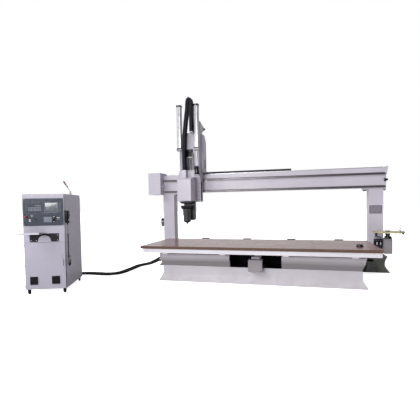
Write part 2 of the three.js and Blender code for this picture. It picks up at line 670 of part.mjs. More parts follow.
function xMotor() {
  const x = HEAD_X;
  const plate = box([x - 60, x + 60], [-29, 91], [2262, 2274]);
  const body = rod('z', [x, 31], 2272, 2470, 55);
  const shaft = rod('z', [x, 31], 2247, 2265, 12, COARSE);
  return join(plate, body, shaft);
}

// ---------------------------------------------------------------- tool disc

function magazineDisc() {
  const { x, y, low, top, r, forks, forkR } = DISC;
  const plate = rod('z', [x, y], low, top, r, 48);
  const slots = [];
  for (let fork = 0; fork < forks; fork += 1) {
    const angle = ((fork + 0.5) / forks) * 2 * Math.PI;
    const slot = box([forkR, r + 20], [-22, 22], [low - EPS, top + EPS]);
    const seat = rod('z', [forkR, 0], low - EPS, top + EPS, 22, COARSE);
    slots.push(join(slot, seat).rotateZ(angle).translate(x, y, 0));
  }
  const hub = rod('z', [x, y], top - 2, top + 18, 46);
  return join(cut(plate, ...slots), hub);
}

function toolHolder(angle) {
  const { x, y, low, forkR } = DISC;
  const middle = low + 11;
  return turned([
    [0, middle - 78], [5, middle - 78], [5, middle - 40], [19, middle - 40], [22, middle - 14],
    [30, middle - 14], [30, middle - 11.4], [21.4, middle - 11.4], [21.4, middle + 11.4],
    [30, middle + 11.4], [30, middle + 18], [20, middle + 20], [11, middle + 72], [7, middle + 74],
    [7, middle + 96], [0, middle + 96],
  ], x + forkR * Math.cos(angle), y + forkR * Math.sin(angle), COARSE);
}

// ---------------------------------------------------------------- control cabinet

function cabinetShell() {
  const { wide, deep, low, top } = CABINET;
  const side = new THREE.Shape();
  side.moveTo(0, low);
  side.lineTo(deep, low);
  side.lineTo(deep, top - CABINET_ROUND);
  side.absarc(deep - CABINET_ROUND, top - CABINET_ROUND, CABINET_ROUND, 0, Math.PI / 2);
  side.lineTo(0, top);
  const body = prismX(side, [0, wide]);
  const inside = box([14, wide - 14], [30, deep - 14], [low + 14, DOOR_TOP]);
  const mouth = box([26, wide - 26], [-EPS, 40], [low + 26, DOOR_TOP - 14]);
  const upper = box([14, wide - 14], [14, deep - 90], [DOOR_TOP - EPS, top - 14]);
  const lip = box([-EPS, wide + EPS], [-EPS, 22], [low - EPS, DOOR_TOP + GAP]);
  const glands = CONDUIT_STARTS.map((x) => rod('y', [x, CONDUIT_EXIT_Z], deep - 10, deep + 32, 34));
  const rearY = deep - CASTER_INSET;
  const rearX = [CASTER_INSET, wide - CASTER_INSET];
  const pads = rearX.map((x) => box([x - 20, x + 20], [rearY - 26, rearY + 26], [76, low + 5]));
  const legs = rearX.flatMap((x) => casterLegs(x, [rearY - 16, rearY + 16]));
  const mastFoot = rod('z', [MAST.x, MAST.y], top - 5, MAST.foot, 14, COARSE);
  const elbow = box([wide - 5, wide + 50], [PENDANT.y + 95, PENDANT.y + 145], [600 + GAP, 640]);
  const ears = [[16, 29.7], [345.3, 359]].map((x) => box(x, [-18, 1], [1046, 1066]));
  const hook = box([wide - 5, wide + 9], [PENDANT.y - 30, PENDANT.y + 30], [1300, 1400]);
  const shell = cut(body, inside, mouth, upper, lip);
  return join(shell, ...glands, ...pads, ...legs, ...ears, mastFoot, elbow, hook);
}

function cabinetDoor() {
  const { wide, low } = CABINET;
  const panel = box([3, wide - 3], [0, 21.5], [low + 6, DOOR_TOP - 4]);
  const back = box([20, wide - 20], [16, 21.6], [low + 24, DOOR_TOP - 24]);
  const handle = box([wide - 60, wide - 36], [-14, 4], [480, 600]);
  return join(cut(panel, back), handle);
}

function controlPanel() {
  const { x, z, thick } = PANEL;
  const holes = [E_STOP, START].map((at) => rod('y', at, -thick - EPS, EPS, PANEL_HOLE_R, COARSE));
  return cut(box(x, [-thick, -GAP], z), ...holes);
}

function shelf() {
  const plate = box([30, 345], [-262, -8], [1050, 1062]);
  const lip = box([30, 345], [-262, -254], [1050, 1080]);
  const knuckle = rod('x', [-9, 1056], 30, 345, 7, COARSE);
  return join(plate, lip, knuckle);
}

// A rounded mast of three lamps on a ball, tilted in its swivel foot.
function signalMast() {
  const { x, y, pivot, tilt } = MAST;
  const mast = turned([
    [0, -12], [9, -9], [12, 0], [9, 9], [6, 14], [6, 92], [14, 98], [14, 210], [10, 220], [0, 222],
  ], 0, 0, COARSE);
  return mast.rotateY(-tilt).translate(x, y, pivot);
}

function casterLegs(x, y) {
  return [-1, 1].map((side) => box([x + side * 17 - 2, x + side * 17 + 2], y, [CASTER_R - 8, 80]));
}

function casterFork(x, y) {
  const plate = rod('z', [x, y], 76, CABINET.low - GAP, 24, COARSE);
  const bridge = box([x - 19, x + 19], [y - 14, y + 22], [76, 80]);
  return join(plate, bridge, ...casterLegs(x, [y - 14, y + CASTER_TRAIL + 16]));
}

function casterWheel(x, y) {
  const half = CASTER_WIDE / 2;
  return rod('x', [y, CASTER_R], x - half, x + half, CASTER_R, FINE);
}

function pendantBody() {
  const { y, wide, low, top, thick } = PENDANT;
  const x = CABINET.wide + 10;
  const body = prismX(roundedRect(wide, top - low, 16), [x, x + thick]);
  return body.translate(0, y, (low + top) / 2);
}

function pendantCord() {
  const x = CABINET.wide + 38;
  const { y, low } = PENDANT;
  const thin = tube([[x, y, low - GAP], [x, y, 1120], [x, y, 1030]], 4, 8, 2);
  const points = [
    [x, y, 1040], [x, y, 800], [x, y, 600], [x, y + 8, 520], [x - 1, y + 60, 462],
    [x - 3, y + 112, 520], [x - 4, y + 120, 566],
  ];
  const coil = tube(points, 13, 8, 20);
  const end = tube([[x - 4, y + 120, 560], [x - 4, y + 120, 580], [x - 4, y + 120, 600]], 4, 8, 2);
  return join(thin, coil, end);
}

// Both push buttons have a shank through the panel, short of the sheet behind it by their travel.
function mushroom(at) {
  const shank = rod('y', at, -PANEL.thick - 24, -7, 12, COARSE);
  const cap = rod('y', at, -PANEL.thick - 44, -PANEL.thick - 20, 21, FINE);
  return join(shank, cap);
}

function pushButton(at) {
  return rod('y', at, -PANEL.thick - 9, -4, 12, COARSE);
}

function knob(at) {
  return rod('y', at, -PANEL.thick - 22, -PANEL.thick - GAP, 20, FINE);
}

// ---------------------------------------------------------------- assembly

const router = new THREE.Group();

const beds = new THREE.Group();
add(beds, 'front_plinth', plinth([FRONT_Y, FRONT_Y + PLINTH_DEPTH], 50, 0), PAINT);
add(beds, 'rear_plinth', plinth([REAR_Y - PLINTH_DEPTH, REAR_Y], 0, 50), PAINT);
add(beds, 'bed_left', bedHalf(-1), PAINT);
add(beds, 'bed_right', bedHalf(1), PAINT);
add(beds, 'gantry_base', gantryBase(), DARK_PAINT);
add(beds, 'y_motor_cover', motorCover(), PAINT);
add(beds, 'y_ball_screw', rod('y', [0, SCREW_Z], FRONT_Y + 8, REAR_Y - 8, SCREW_R), STEEL);
router.add(beds);

const gantry = new THREE.Group();
add(gantry, 'column_left', column(-1), PAINT);
add(gantry, 'column_right', column(1), PAINT);
add(gantry, 'beam', beam(), PAINT);
add(gantry, 'x_rail_upper', xRail(X_RAIL_HIGH), STEEL);
add(gantry, 'x_rail_lower', xRail(X_RAIL_LOW), STEEL);
add(gantry, 'x_rack', box([BEAM_LEFT + 20, BEAM_RIGHT - 20], [RACK_FACE, 88], [BEAM_TOP + GAP, RACK_TOP]), STEEL);
add(gantry, 'chain_tray', chainTray(), PAINT);
add(gantry, 'x_drag_chain', xChain(), BLACK);
add(gantry, 'beam_end_cover', beamEndCover(), PAINT);
add(gantry, 'valve_block', valveBlock(), BLACK);
add(gantry, 'air_filter_unit', airUnit(), SMOKE);
add(gantry, 'regulator_knob', regulatorKnob(), BLACK);
router.add(gantry);

const table = new THREE.Group();
add(table, 'table_frame', tableFrame(), PAINT);
add(table, 'table_board', tableBoard(), BOARD);
add(table, 'tool_setter', toolSetter(), BLACK);
add(table, 'tool_setter_button', rod('z', SETTER_AT, TABLE_TOP + 11, TABLE_TOP + 27, 18, COARSE), STEEL);
router.add(table);

const head = new THREE.Group();
add(head, 'x_saddle', saddle(), PAINT);
add(head, 'z_column', zColumn(), PAINT);
add(head, 'x_motor', xMotor(), BLACK);
add(head, 'x_pinion', rod('z', [HEAD_X, RACK_FACE - PINION_R - 1], 2210, 2246, PINION_R), STEEL);
add(head, 'z_motor', zMotor(), BLACK);
add(head, 'z_motor_cover', zMotorCover(), PAINT);
add(head, 'z_ball_screw', rod('z', [HEAD_X, Z_SCREW_Y], 1700, 2591.5, Z_SCREW_R, COARSE), STEEL);
add(head, 'z_cylinder_left', cylinder(-1), ALUMINIUM);
add(head, 'z_cylinder_right', cylinder(1), ALUMINIUM);
add(head, 'z_drag_chain', zChain(), BLACK);
add(head, 'z_ram', ram(), ALUMINIUM);
add(head, 'head_cover', headCover(), PAINT);
add(head, 'spindle_housing', spindleHousing(), BLACK);
add(head, 'spindle_shaft', spindleShaft(), STEEL);
router.add(head);

const magazine = new THREE.Group();
const forkStep = (2 * Math.PI) / DISC.forks;
add(magazine, 'magazine_post', magazinePost(), PAINT);
add(magazine, 'magazine_disc', magazineDisc(), YELLOW);
add(magazine, 'tool_holder_front', toolHolder(-forkStep / 2), BLACK);
add(magazine, 'tool_holder_rear', toolHolder(forkStep / 2), BLACK);
router.add(magazine);

const cabinet = new THREE.Group();
const { wide, deep } = CABINET;
cabinet.position.set(CABINET.x, CABINET.y, 0);
cabinet.rotation.z = THREE.MathUtils.degToRad(CABINET.turn);
add(cabinet, 'cabinet_shell', cabinetShell(), PAINT);
add(cabinet, 'cabinet_door', cabinetDoor(), PAINT);
add(cabinet, 'control_panel', controlPanel(), NAVY);
add(cabinet, 'e_stop', mushroom(E_STOP), RED);
add(cabinet, 'start_button', pushButton(START), GREEN);
add(cabinet, 'override_knob', knob(OVERRIDE), BLACK);
add(cabinet, 'operator_shelf', shelf(), PAINT);
add(cabinet, 'signal_mast', signalMast(), RED);
const casterX = { left: CASTER_INSET, right: wide - CASTER_INSET };
Object.entries(casterX).forEach(([side, x]) => {
  add(cabinet, `caster_fork_${side}`, casterFork(x, CASTER_INSET), STEEL);
  add(cabinet, `caster_wheel_front_${side}`, casterWheel(x, CASTER_INSET + CASTER_TRAIL), RUBBER);
  add(cabinet, `caster_wheel_rear_${side}`, casterWheel(x, deep - CASTER_INSET), RUBBER);
});
add(cabinet, 'pendant', pendantBody(), BLACK);
add(cabinet, 'pendant_wheel', rod('x', [PENDANT.y, 1270], wide + 66 + GAP, wide + 78, 30), STEEL);
add(cabinet, 'pendant_cord', pendantCord(), RUBBER);
router.add(cabinet);

add(router, 'conduit_front', tube(FRONT_CONDUIT, CONDUIT_R, 8, 44), RUBBER);
add(router, 'conduit_rear', tube(REAR_CONDUIT, CONDUIT_R, 8, 44), RUBBER);

export default router;
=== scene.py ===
"""The looks of a moving-table CNC router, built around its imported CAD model.

Metres in Blender; the shapes below are written in millimetres and scaled once.
"""
import json
import math

import bmesh
import bpy
from mathutils import Matrix, Vector

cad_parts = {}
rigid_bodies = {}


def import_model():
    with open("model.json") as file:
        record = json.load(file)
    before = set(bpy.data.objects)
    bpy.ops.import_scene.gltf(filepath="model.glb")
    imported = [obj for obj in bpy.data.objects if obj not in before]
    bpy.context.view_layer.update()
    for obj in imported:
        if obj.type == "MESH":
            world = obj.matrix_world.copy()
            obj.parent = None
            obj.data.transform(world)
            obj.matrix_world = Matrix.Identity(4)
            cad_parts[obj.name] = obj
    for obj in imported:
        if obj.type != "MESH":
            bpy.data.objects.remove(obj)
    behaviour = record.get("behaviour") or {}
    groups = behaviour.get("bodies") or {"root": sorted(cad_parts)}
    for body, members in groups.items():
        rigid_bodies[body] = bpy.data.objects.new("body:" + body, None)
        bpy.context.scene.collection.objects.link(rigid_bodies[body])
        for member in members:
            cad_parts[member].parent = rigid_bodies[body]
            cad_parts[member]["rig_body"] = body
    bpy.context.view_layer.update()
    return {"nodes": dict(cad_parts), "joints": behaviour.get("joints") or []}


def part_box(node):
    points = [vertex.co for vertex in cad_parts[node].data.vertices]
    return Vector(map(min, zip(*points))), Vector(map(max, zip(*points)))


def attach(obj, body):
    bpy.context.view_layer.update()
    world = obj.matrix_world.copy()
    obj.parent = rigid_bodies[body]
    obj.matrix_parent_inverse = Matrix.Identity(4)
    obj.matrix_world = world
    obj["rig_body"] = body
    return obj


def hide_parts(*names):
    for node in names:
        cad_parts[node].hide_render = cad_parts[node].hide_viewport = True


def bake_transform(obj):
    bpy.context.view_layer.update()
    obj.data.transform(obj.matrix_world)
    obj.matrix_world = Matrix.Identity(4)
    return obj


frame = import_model()

MM = 0.001
TAU = 2 * math.pi


def joint(name):
    """A joint's record in the frame."""
    return next(j for j in frame["joints"] if j["name"] == name)


def box_mm(node):
    """A node's bounds in mm, one (low, high) pair for each axis."""
    low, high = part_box(node)
    return [(low[i] / MM, high[i] / MM) for i in range(3)]


def mid(span):
    """The middle of a low and high pair."""
    return (span[0] + span[1]) / 2


def turns(count, offset=0.0):
    """The angles of count places round a circle, the first one moved on by offset places."""
    return [TAU * (k + offset) / count for k in range(count)]


def on_circle(at, radius, angle):
    """The point at an angle on a circle about at."""
    return at[0] + radius * math.cos(angle), at[1] + radius * math.sin(angle)


def arc(at, radius, start, end, steps, flat=1.0):
    """Points along an arc, both ends included; flat squeezes its second direction."""
    angles = [start + (end - start) * k / steps for k in range(steps + 1)]
    return [(at[0] + radius * math.cos(t), at[1] + radius * flat * math.sin(t)) for t in angles]


# ------------------------------------------------------------------ camera

def make_camera():
    """A hand-held photo from 1.5 m up, 7.5 m in front of the gantry, turned 14.6 degrees to the left."""
    yaw, pitch, roll = (math.radians(a) for a in (14.635, -2.1341, -0.9623))
    ahead = Vector((-math.sin(yaw) * math.cos(pitch), math.cos(yaw) * math.cos(pitch), math.sin(pitch)))
    level_right = Vector((math.cos(yaw), math.sin(yaw), 0))
    level_up = level_right.cross(ahead)
    right = level_right * math.cos(roll) + level_up * math.sin(roll)
    up = level_up * math.cos(roll) - level_right * math.sin(roll)
    data = bpy.data.cameras.new("camera")
    data.sensor_width = 36
    data.lens = 27.80
    data.shift_x, data.shift_y = -0.0228, 0.0144
    data.clip_start, data.clip_end = 0.05, 200
    camera = bpy.data.objects.new("camera", data)
    turn = Matrix((right, up, -ahead)).transposed()
    camera.matrix_world = Matrix.Translation((0.882, -7.5225, 1.5)) @ turn.to_4x4()
    bpy.context.scene.collection.objects.link(camera)
    bpy.context.scene.camera = camera


make_camera()


# ------------------------------------------------------------------ materials

class Nodes:
    """A short way to write one material's node tree."""

    def __init__(self, name):
        self.material = bpy.data.materials.new(name)
        self.material.use_nodes = True
        self.tree = self.material.node_tree
        self.shader = self.tree.nodes["Principled BSDF"]
        self.place = self.add("ShaderNodeTexCoord").outputs["Object"]

    def add(self, kind, **values):
        node = self.tree.nodes.new(kind)
        for key, value in values.items():
            setattr(node, key, value)
        return node

    def link(self, a, b):
        self.tree.links.new(a, b)

    def give(self, value, socket):
        """Links an output to a socket, or sets the socket itself."""
        if hasattr(value, "is_output"):
            self.link(value, socket)
        else:
            socket.default_value = value

    def scaled(self, stretch):
        node = self.add("ShaderNodeMapping")
        node.inputs["Scale"].default_value = stretch
        self.link(self.place, node.inputs["Vector"])
        return node.outputs["Vector"]

    def noise(self, scale, detail=4.0, rough=0.55, stretch=None):
        node = self.add("ShaderNodeTexNoise")
        node.inputs["Scale"].default_value = scale
        node.inputs["Detail"].default_value = detail
        node.inputs["Roughness"].default_value = rough
        self.link(self.scaled(stretch) if stretch else self.place, node.inputs["Vector"])
        return node.outputs["Fac"]

    def span(self, value, low, high, to_low=0.0, to_high=1.0):
        node = self.add("ShaderNodeMapRange", clamp=True)
        for index, number in enumerate((low, high, to_low, to_high)):
            node.inputs[index + 1].default_value = number
        self.link(value, node.inputs[0])
        return node.outputs[0]

    def maths(self, operation, a, b):
        node = self.add("ShaderNodeMath", operation=operation)
        for index, value in enumerate((a, b)):
            self.give(value, node.inputs[index])
        return node.outputs[0]

    def mix(self, share, a, b, kind="MIX"):
        node = self.add("ShaderNodeMix", data_type="RGBA", blend_type=kind)
        for index, value in ((0, share), (6, a), (7, b)):
            self.give((*value, 1) if isinstance(value, tuple) else value, node.inputs[index])
        return node.outputs[2]

    def axis(self, which):
        node = self.add("ShaderNodeSeparateXYZ")
        self.link(self.place, node.inputs[0])
        return node.outputs[which]

    def facing(self, which):
        """The surface's own direction along one axis of the part's frame."""
        node = self.add("ShaderNodeSeparateXYZ")
        self.link(self.add("ShaderNodeNewGeometry").outputs["Normal"], node.inputs[0])
        return node.outputs[which]

    def bump(self, height, strength, distance, after=None):
        node = self.add("ShaderNodeBump")
        node.inputs["Strength"].default_value = strength
        node.inputs["Distance"].default_value = distance
        self.link(height, node.inputs["Height"])
        if after:
            self.link(after, node.inputs["Normal"])
        return node.outputs["Normal"]

    def finish(self, colour, rough, normal=None, metal=0.0, coat=0.0, coat_rough=0.1, specular=0.5):
        self.link(colour, self.shader.inputs["Base Color"])
        self.give(rough, self.shader.inputs["Roughness"])
        self.give(metal, self.shader.inputs["Metallic"])
        self.shader.inputs["Coat Weight"].default_value = coat
        self.shader.inputs["Coat Roughness"].default_value = coat_rough
        self.shader.inputs["Specular IOR Level"].default_value = specular
        if normal:
            self.link(normal, self.shader.inputs["Normal"])
        return self.material


def shade(colour, factor):
    return tuple(min(1.0, c * factor) for c in colour)


def enamel(name, colour, rough=0.42, coat=0.2, dirt=0.35, peel=0.25, tone=0.07, specular=0.5, under=None):
    """Stove enamel: orange peel, faint clouding, dust that gathers low down, and short rubbed marks; with an
    under colour, faces that look downwards are painted darker as shade.
    """
    n = Nodes(name)
    cloud = n.span(n.noise(1.3, 5), 0.3, 0.7)
    fine = n.span(n.noise(38, 6), 0.35, 0.65)
    base = n.mix(cloud, shade(colour, 1 - tone), shade(colour, 1 + tone))
    base = n.mix(n.maths("MULTIPLY", fine, 0.35), base, shade(colour, 0.93))
    # faces that look downwards take the under colour: painted shade
    if under:
        base = n.mix(n.span(n.facing(2), -0.12, -0.3), base, under)
    streak = n.span(n.noise(5, 8, 0.7, (9, 9, 0.7)), 0.56, 0.74)
    base = n.mix(n.maths("MULTIPLY", streak, 0.16 + 0.2 * dirt), base, shade(colour, 0.72))
    low = n.span(n.axis(2), 0.28, 0.0)
    dust = n.maths("MULTIPLY", low, n.span(n.noise(7, 7, 0.65), 0.3, 0.7))
    base = n.mix(n.maths("MULTIPLY", dust, dirt), base, (0.30, 0.27, 0.24))
    rubbed = n.span(n.noise(21, 3, 0.6, (1, 1, 7)), 0.66, 0.72)
    base = n.mix(n.maths("MULTIPLY", rubbed, 0.22), base, shade(colour, 1.25))
    polish = n.span(n.maths("ADD", n.noise(11, 5), n.maths("MULTIPLY", dust, 0.6)), 0.3, 1.0,
                    rough - 0.09, rough + 0.22)
    normal = n.bump(n.noise(520, 2), peel, 0.0004)
    normal = n.bump(cloud, 0.10, 0.004, normal)
    return n.finish(base, polish, normal, coat=coat, coat_rough=0.22, specular=specular)


def metal(name, colour, rough=0.3, stretch=(1, 60, 60), stain=0.25, shine=1.0):
    """Ground or drawn metal: a directional grain, oil stains and small nicks."""
    n = Nodes(name)
    grain = n.noise(24, 5, 0.6, stretch)
    stains = n.span(n.noise(9, 6, 0.6), 0.48, 0.72)
    base = n.mix(n.span(grain, 0.3, 0.7), shade(colour, 0.86), shade(colour, 1.1))
    base = n.mix(n.maths("MULTIPLY", stains, stain), base, shade(colour, 0.5))
    worn = n.maths("ADD", grain, n.maths("MULTIPLY", stains, 0.5))
    polish = n.span(worn, 0.3, 1.1, rough - 0.08, rough + 0.2)
    normal = n.bump(grain, 0.22, 0.0003)
    return n.finish(base, polish, normal, metal=shine)


def moulded(name, colour, rough=0.5, grain=700.0, depth=0.3, coat=0.0, tone=0.12, specular=0.5):
    """Moulded plastic or rubber: a fine spark-eroded grain with handling marks."""
    n = Nodes(name)
    wear = n.span(n.noise(14, 6, 0.62), 0.42, 0.72)
    base = n.mix(n.span(n.noise(60, 4), 0.3, 0.7), shade(colour, 1 - tone), shade(colour, 1 + tone))
    base = n.mix(n.maths("MULTIPLY", wear, 0.22), base, tuple(min(1, c * 1.3 + 0.006) for c in colour))
    polish = n.span(wear, 0, 1, rough - 0.07, rough + 0.14)
    return n.finish(base, polish, n.bump(n.noise(grain, 2), depth, 0.0004), coat=coat, specular=specular)


def make_board():
    """Phenolic laminate: a polished, cloudy top with tool scuffs, and raw brown layers at its edges."""
    n = Nodes("board_laminate")
    cloud = n.span(n.noise(1.1, 6, 0.6, (1, 2.2, 1)), 0.32, 0.68)
    fibre = n.noise(30, 6, 0.7, (0.6, 7, 1))
    top = n.mix(cloud, (0.190, 0.088, 0.085), (0.275, 0.145, 0.138))
    top = n.mix(n.span(fibre, 0.35, 0.7, 0, 0.45), top, (0.15, 0.070, 0.066))
    scuff = n.span(n.noise(3.1, 9, 0.78, (1, 3, 1)), 0.55, 0.64)
    top = n.mix(n.maths("MULTIPLY", scuff, 0.30), top, (0.50, 0.38, 0.36))
    oil = n.span(n.noise(0.9, 4, 0.5, (1, 1.6, 1)), 0.58, 0.70)
    top = n.mix(n.maths("MULTIPLY", oil, 0.35), top, (0.16, 0.10, 0.09))
    layers = n.noise(16, 3, 0.5, (0.8, 0.8, 40))
    edge = n.mix(n.span(layers, 0.35, 0.65), (0.085, 0.050, 0.038), (0.165, 0.105, 0.082))
    flat = n.span(n.facing(2), 0.35, 0.65)
    polish = n.span(n.maths("ADD", scuff, n.noise(6, 5)), 0.4, 1.5, 0.16, 0.42)
    normal = n.bump(n.noise(2.2, 4, 0.5, (1, 1.4, 1)), 0.35, 0.006)
    normal = n.bump(fibre, 0.06, 0.0005, normal)
    return n.finish(n.mix(flat, edge, top), polish, normal, coat=0.05, coat_rough=0.12, specular=0.17)


def make_ram_paint():
    """The ram: enamel on its plate, black on the swing neck below and ground rods above."""
    n = Nodes("ram_finish")
    height = n.axis(2)
    colour = (0.55, 0.525, 0.60)
    body = n.mix(n.span(n.noise(2.2, 6), 0.3, 0.7), shade(colour, 0.94), shade(colour, 1.06))
    neck = n.maths("LESS_THAN", height, box_mm("head_cover")[2][0] * MM - 0.004)
    rods = n.maths("GREATER_THAN", height, box_mm("head_cover")[2][1] * MM + 0.155)
    black = n.mix(n.span(n.noise(30, 5), 0.3, 0.7), (0.018, 0.02, 0.021), (0.045, 0.047, 0.046))
    colour_out = n.mix(rods, n.mix(neck, body, black), (0.66, 0.66, 0.68))
    polish = n.span(n.noise(17, 5, 0.6, (6, 6, 0.5)), 0.3, 0.7, 0.26, 0.44)
    normal = n.bump(n.noise(500, 2), 0.22, 0.0004)
    return n.finish(colour_out, polish, normal, metal=rods, coat=0.2)


def make_corrugated():
    """Black nylon with floor dust on what faces up."""
    n = Nodes("conduit_nylon")
    dust = n.span(n.noise(6, 7, 0.65), 0.45, 0.75)
    up = n.span(n.facing(2), 0.2, 1.0)
    settled = n.maths("MULTIPLY", n.maths("MULTIPLY", dust, up), 0.35)
    base = n.mix(settled, (0.003, 0.004, 0.005), (0.05, 0.045, 0.042))
    polish = n.span(dust, 0, 1, 0.36, 0.62)
    return n.finish(base, polish, n.bump(n.noise(300, 3), 0.25, 0.0004), specular=0.25)


def make_screen():
    """A dark, switched-off screen under glass."""
    n = Nodes("screen_glass")
    sweep = n.span(n.noise(5, 3, 0.5), 0.3, 0.7)
    base = n.mix(sweep, (0.045, 0.055, 0.075), (0.075, 0.088, 0.115))
    return n.finish(base, n.span(n.noise(40, 5), 0.3, 0.7, 0.06, 0.17), coat=0.6, coat_rough=0.03)


def make_disc():
    """Pale yellow enamel, chipped to brown."""
    n = Nodes("disc_enamel")
    worn = n.span(n.noise(18, 8, 0.72), 0.56, 0.63)
    base = n.mix(n.span(n.noise(5, 4), 0.3, 0.7), (0.46, 0.41, 0.20), (0.60, 0.55, 0.33))
    base = n.mix(worn, base, (0.16, 0.13, 0.07))
    return n.finish(base, n.span(worn, 0, 1, 0.34, 0.6), n.bump(n.noise(300, 3), 0.2, 0.0004), coat=0.15)


def make_plate():
    """A blank engraved plate: grey field, dark frame and a hatched block where data would be."""
    n = Nodes("data_plate")
    hatch = n.span(n.noise(70, 3, 0.6, (1, 1, 3.5)), 0.5, 0.58)
    base = n.mix(n.maths("MULTIPLY", hatch, 0.55), (0.27, 0.25, 0.30), (0.09, 0.08, 0.12))
    return n.finish(base, 0.45, n.bump(n.noise(60, 4, 0.6, (30, 1, 1)), 0.2, 0.0003), metal=0.1)


LAVENDER = (0.560, 0.535, 0.615)
LOOKS = {
    "paint": enamel("machine_enamel", LAVENDER),
    "cover": enamel("cover_enamel", (0.575, 0.55, 0.635), rough=0.36, coat=0.3, dirt=0.2),
    "cabinet": enamel("cabinet_powder", (0.44, 0.42, 0.505), rough=0.46, coat=0.12, dirt=0.3, peel=0.4),
    "apron": enamel("apron_enamel", (0.72, 0.695, 0.75), rough=0.4, coat=0.15, dirt=0.25),
    # a darker copy of the machine paint: painted shade
    "shaded": enamel("painted_shade_enamel", (0.30, 0.275, 0.295), rough=0.45, coat=0.1, dirt=0.3),
    "bed": enamel("bed_enamel", (0.60, 0.575, 0.625), rough=0.5, coat=0.1, dirt=0.40),
    # the upper bed's downward bevel gets painted shade from its under colour
    "bed_upper": enamel("bed_upper_enamel", (0.52, 0.485, 0.525), rough=0.5, coat=0.1, dirt=0.3,
                        under=(0.24, 0.225, 0.235)),
    "base": enamel("base_enamel", (0.115, 0.125, 0.11), rough=0.5, coat=0.1, dirt=0.6, tone=0.14),
    "steel": metal("ground_steel", (0.56, 0.56, 0.57)),
    "steel_z": metal("ground_steel_upright", (0.56, 0.56, 0.57), stretch=(60, 60, 1)),
    "steel_y": metal("ground_steel_depth", (0.56, 0.56, 0.57), stretch=(60, 1, 60)),
    "rail": metal("rail_steel", (0.105, 0.095, 0.105), rough=0.4, stain=0.45),
    "chrome": metal("hard_chrome", (0.74, 0.74, 0.76), rough=0.12, stretch=(40, 40, 1), stain=0.08),
    "zinc": metal("zinc_plate", (0.50, 0.50, 0.51), rough=0.36, stretch=(6, 6, 6), stain=0.35),
    "dark_steel": metal("blackened_steel", (0.055, 0.055, 0.06), rough=0.34, stretch=(8, 8, 8), stain=0.3),
    "alu": metal("anodised_extrusion", (0.66, 0.66, 0.69), rough=0.30, stretch=(50, 50, 1), stain=0.1),
    "black": moulded("black_plastic", (0.007, 0.006, 0.010), 0.5, specular=0.22),
    "chain": moulded("chain_nylon", (0.007, 0.007, 0.014), 0.45, grain=420, specular=0.25),
    "gloss_black": enamel("black_enamel", (0.007, 0.009, 0.008), rough=0.24, coat=0.25, dirt=0.1, tone=0.2,
                          specular=0.4),
    "spindle": enamel("spindle_enamel", (0.012, 0.014, 0.013), rough=0.3, coat=0.8, dirt=0.1, tone=0.2,
                      specular=0.9),
    "rubber": moulded("black_rubber", (0.007, 0.006, 0.010), 0.72, grain=260, depth=0.5, specular=0.2),
    "conduit": make_corrugated(),
    "board": make_board(),
    "ram": make_ram_paint(),
    "panel": moulded("panel_membrane", (0.024, 0.032, 0.056), 0.4, grain=900, depth=0.15, tone=0.06,
                     specular=0.3),
    "panel_line": moulded("panel_print", (0.085, 0.105, 0.15), 0.45, grain=900, depth=0.1),
    "screen": make_screen(),
    "key": moulded("key_caps", (0.20, 0.225, 0.28), 0.4, grain=900, depth=0.1),
    "key_dark": moulded("key_caps_dark", (0.06, 0.075, 0.11), 0.4, grain=900, depth=0.1),
    "white": moulded("white_plastic", (0.72, 0.72, 0.74), 0.4, depth=0.1, tone=0.05),
    "red": moulded("red_plastic", (0.24, 0.045, 0.075), 0.4, depth=0.1, coat=0.1),
    "green": moulded("green_plastic", (0.030, 0.12, 0.085), 0.4, depth=0.1, coat=0.1),
    "amber": moulded("amber_plastic", (0.22, 0.11, 0.06), 0.4, depth=0.1, coat=0.1),
    "blue_hose": moulded("air_hose", (0.03, 0.045, 0.10), 0.3, depth=0.1, coat=0.3),
    "smoke": moulded("smoked_bowl", (0.20, 0.20, 0.24), 0.14, depth=0.05, coat=0.5),
    "yellow": make_disc(),
    "plate": make_plate(),
    # dark material for holes, slits, louvres and gaps between parts: painted shadow in the openings, dark
    # joints along seams
    "void": moulded("shadow_gap", (0.004, 0.003, 0.005), 0.8, specular=0.1),
}


# ------------------------------------------------------------------ shapes

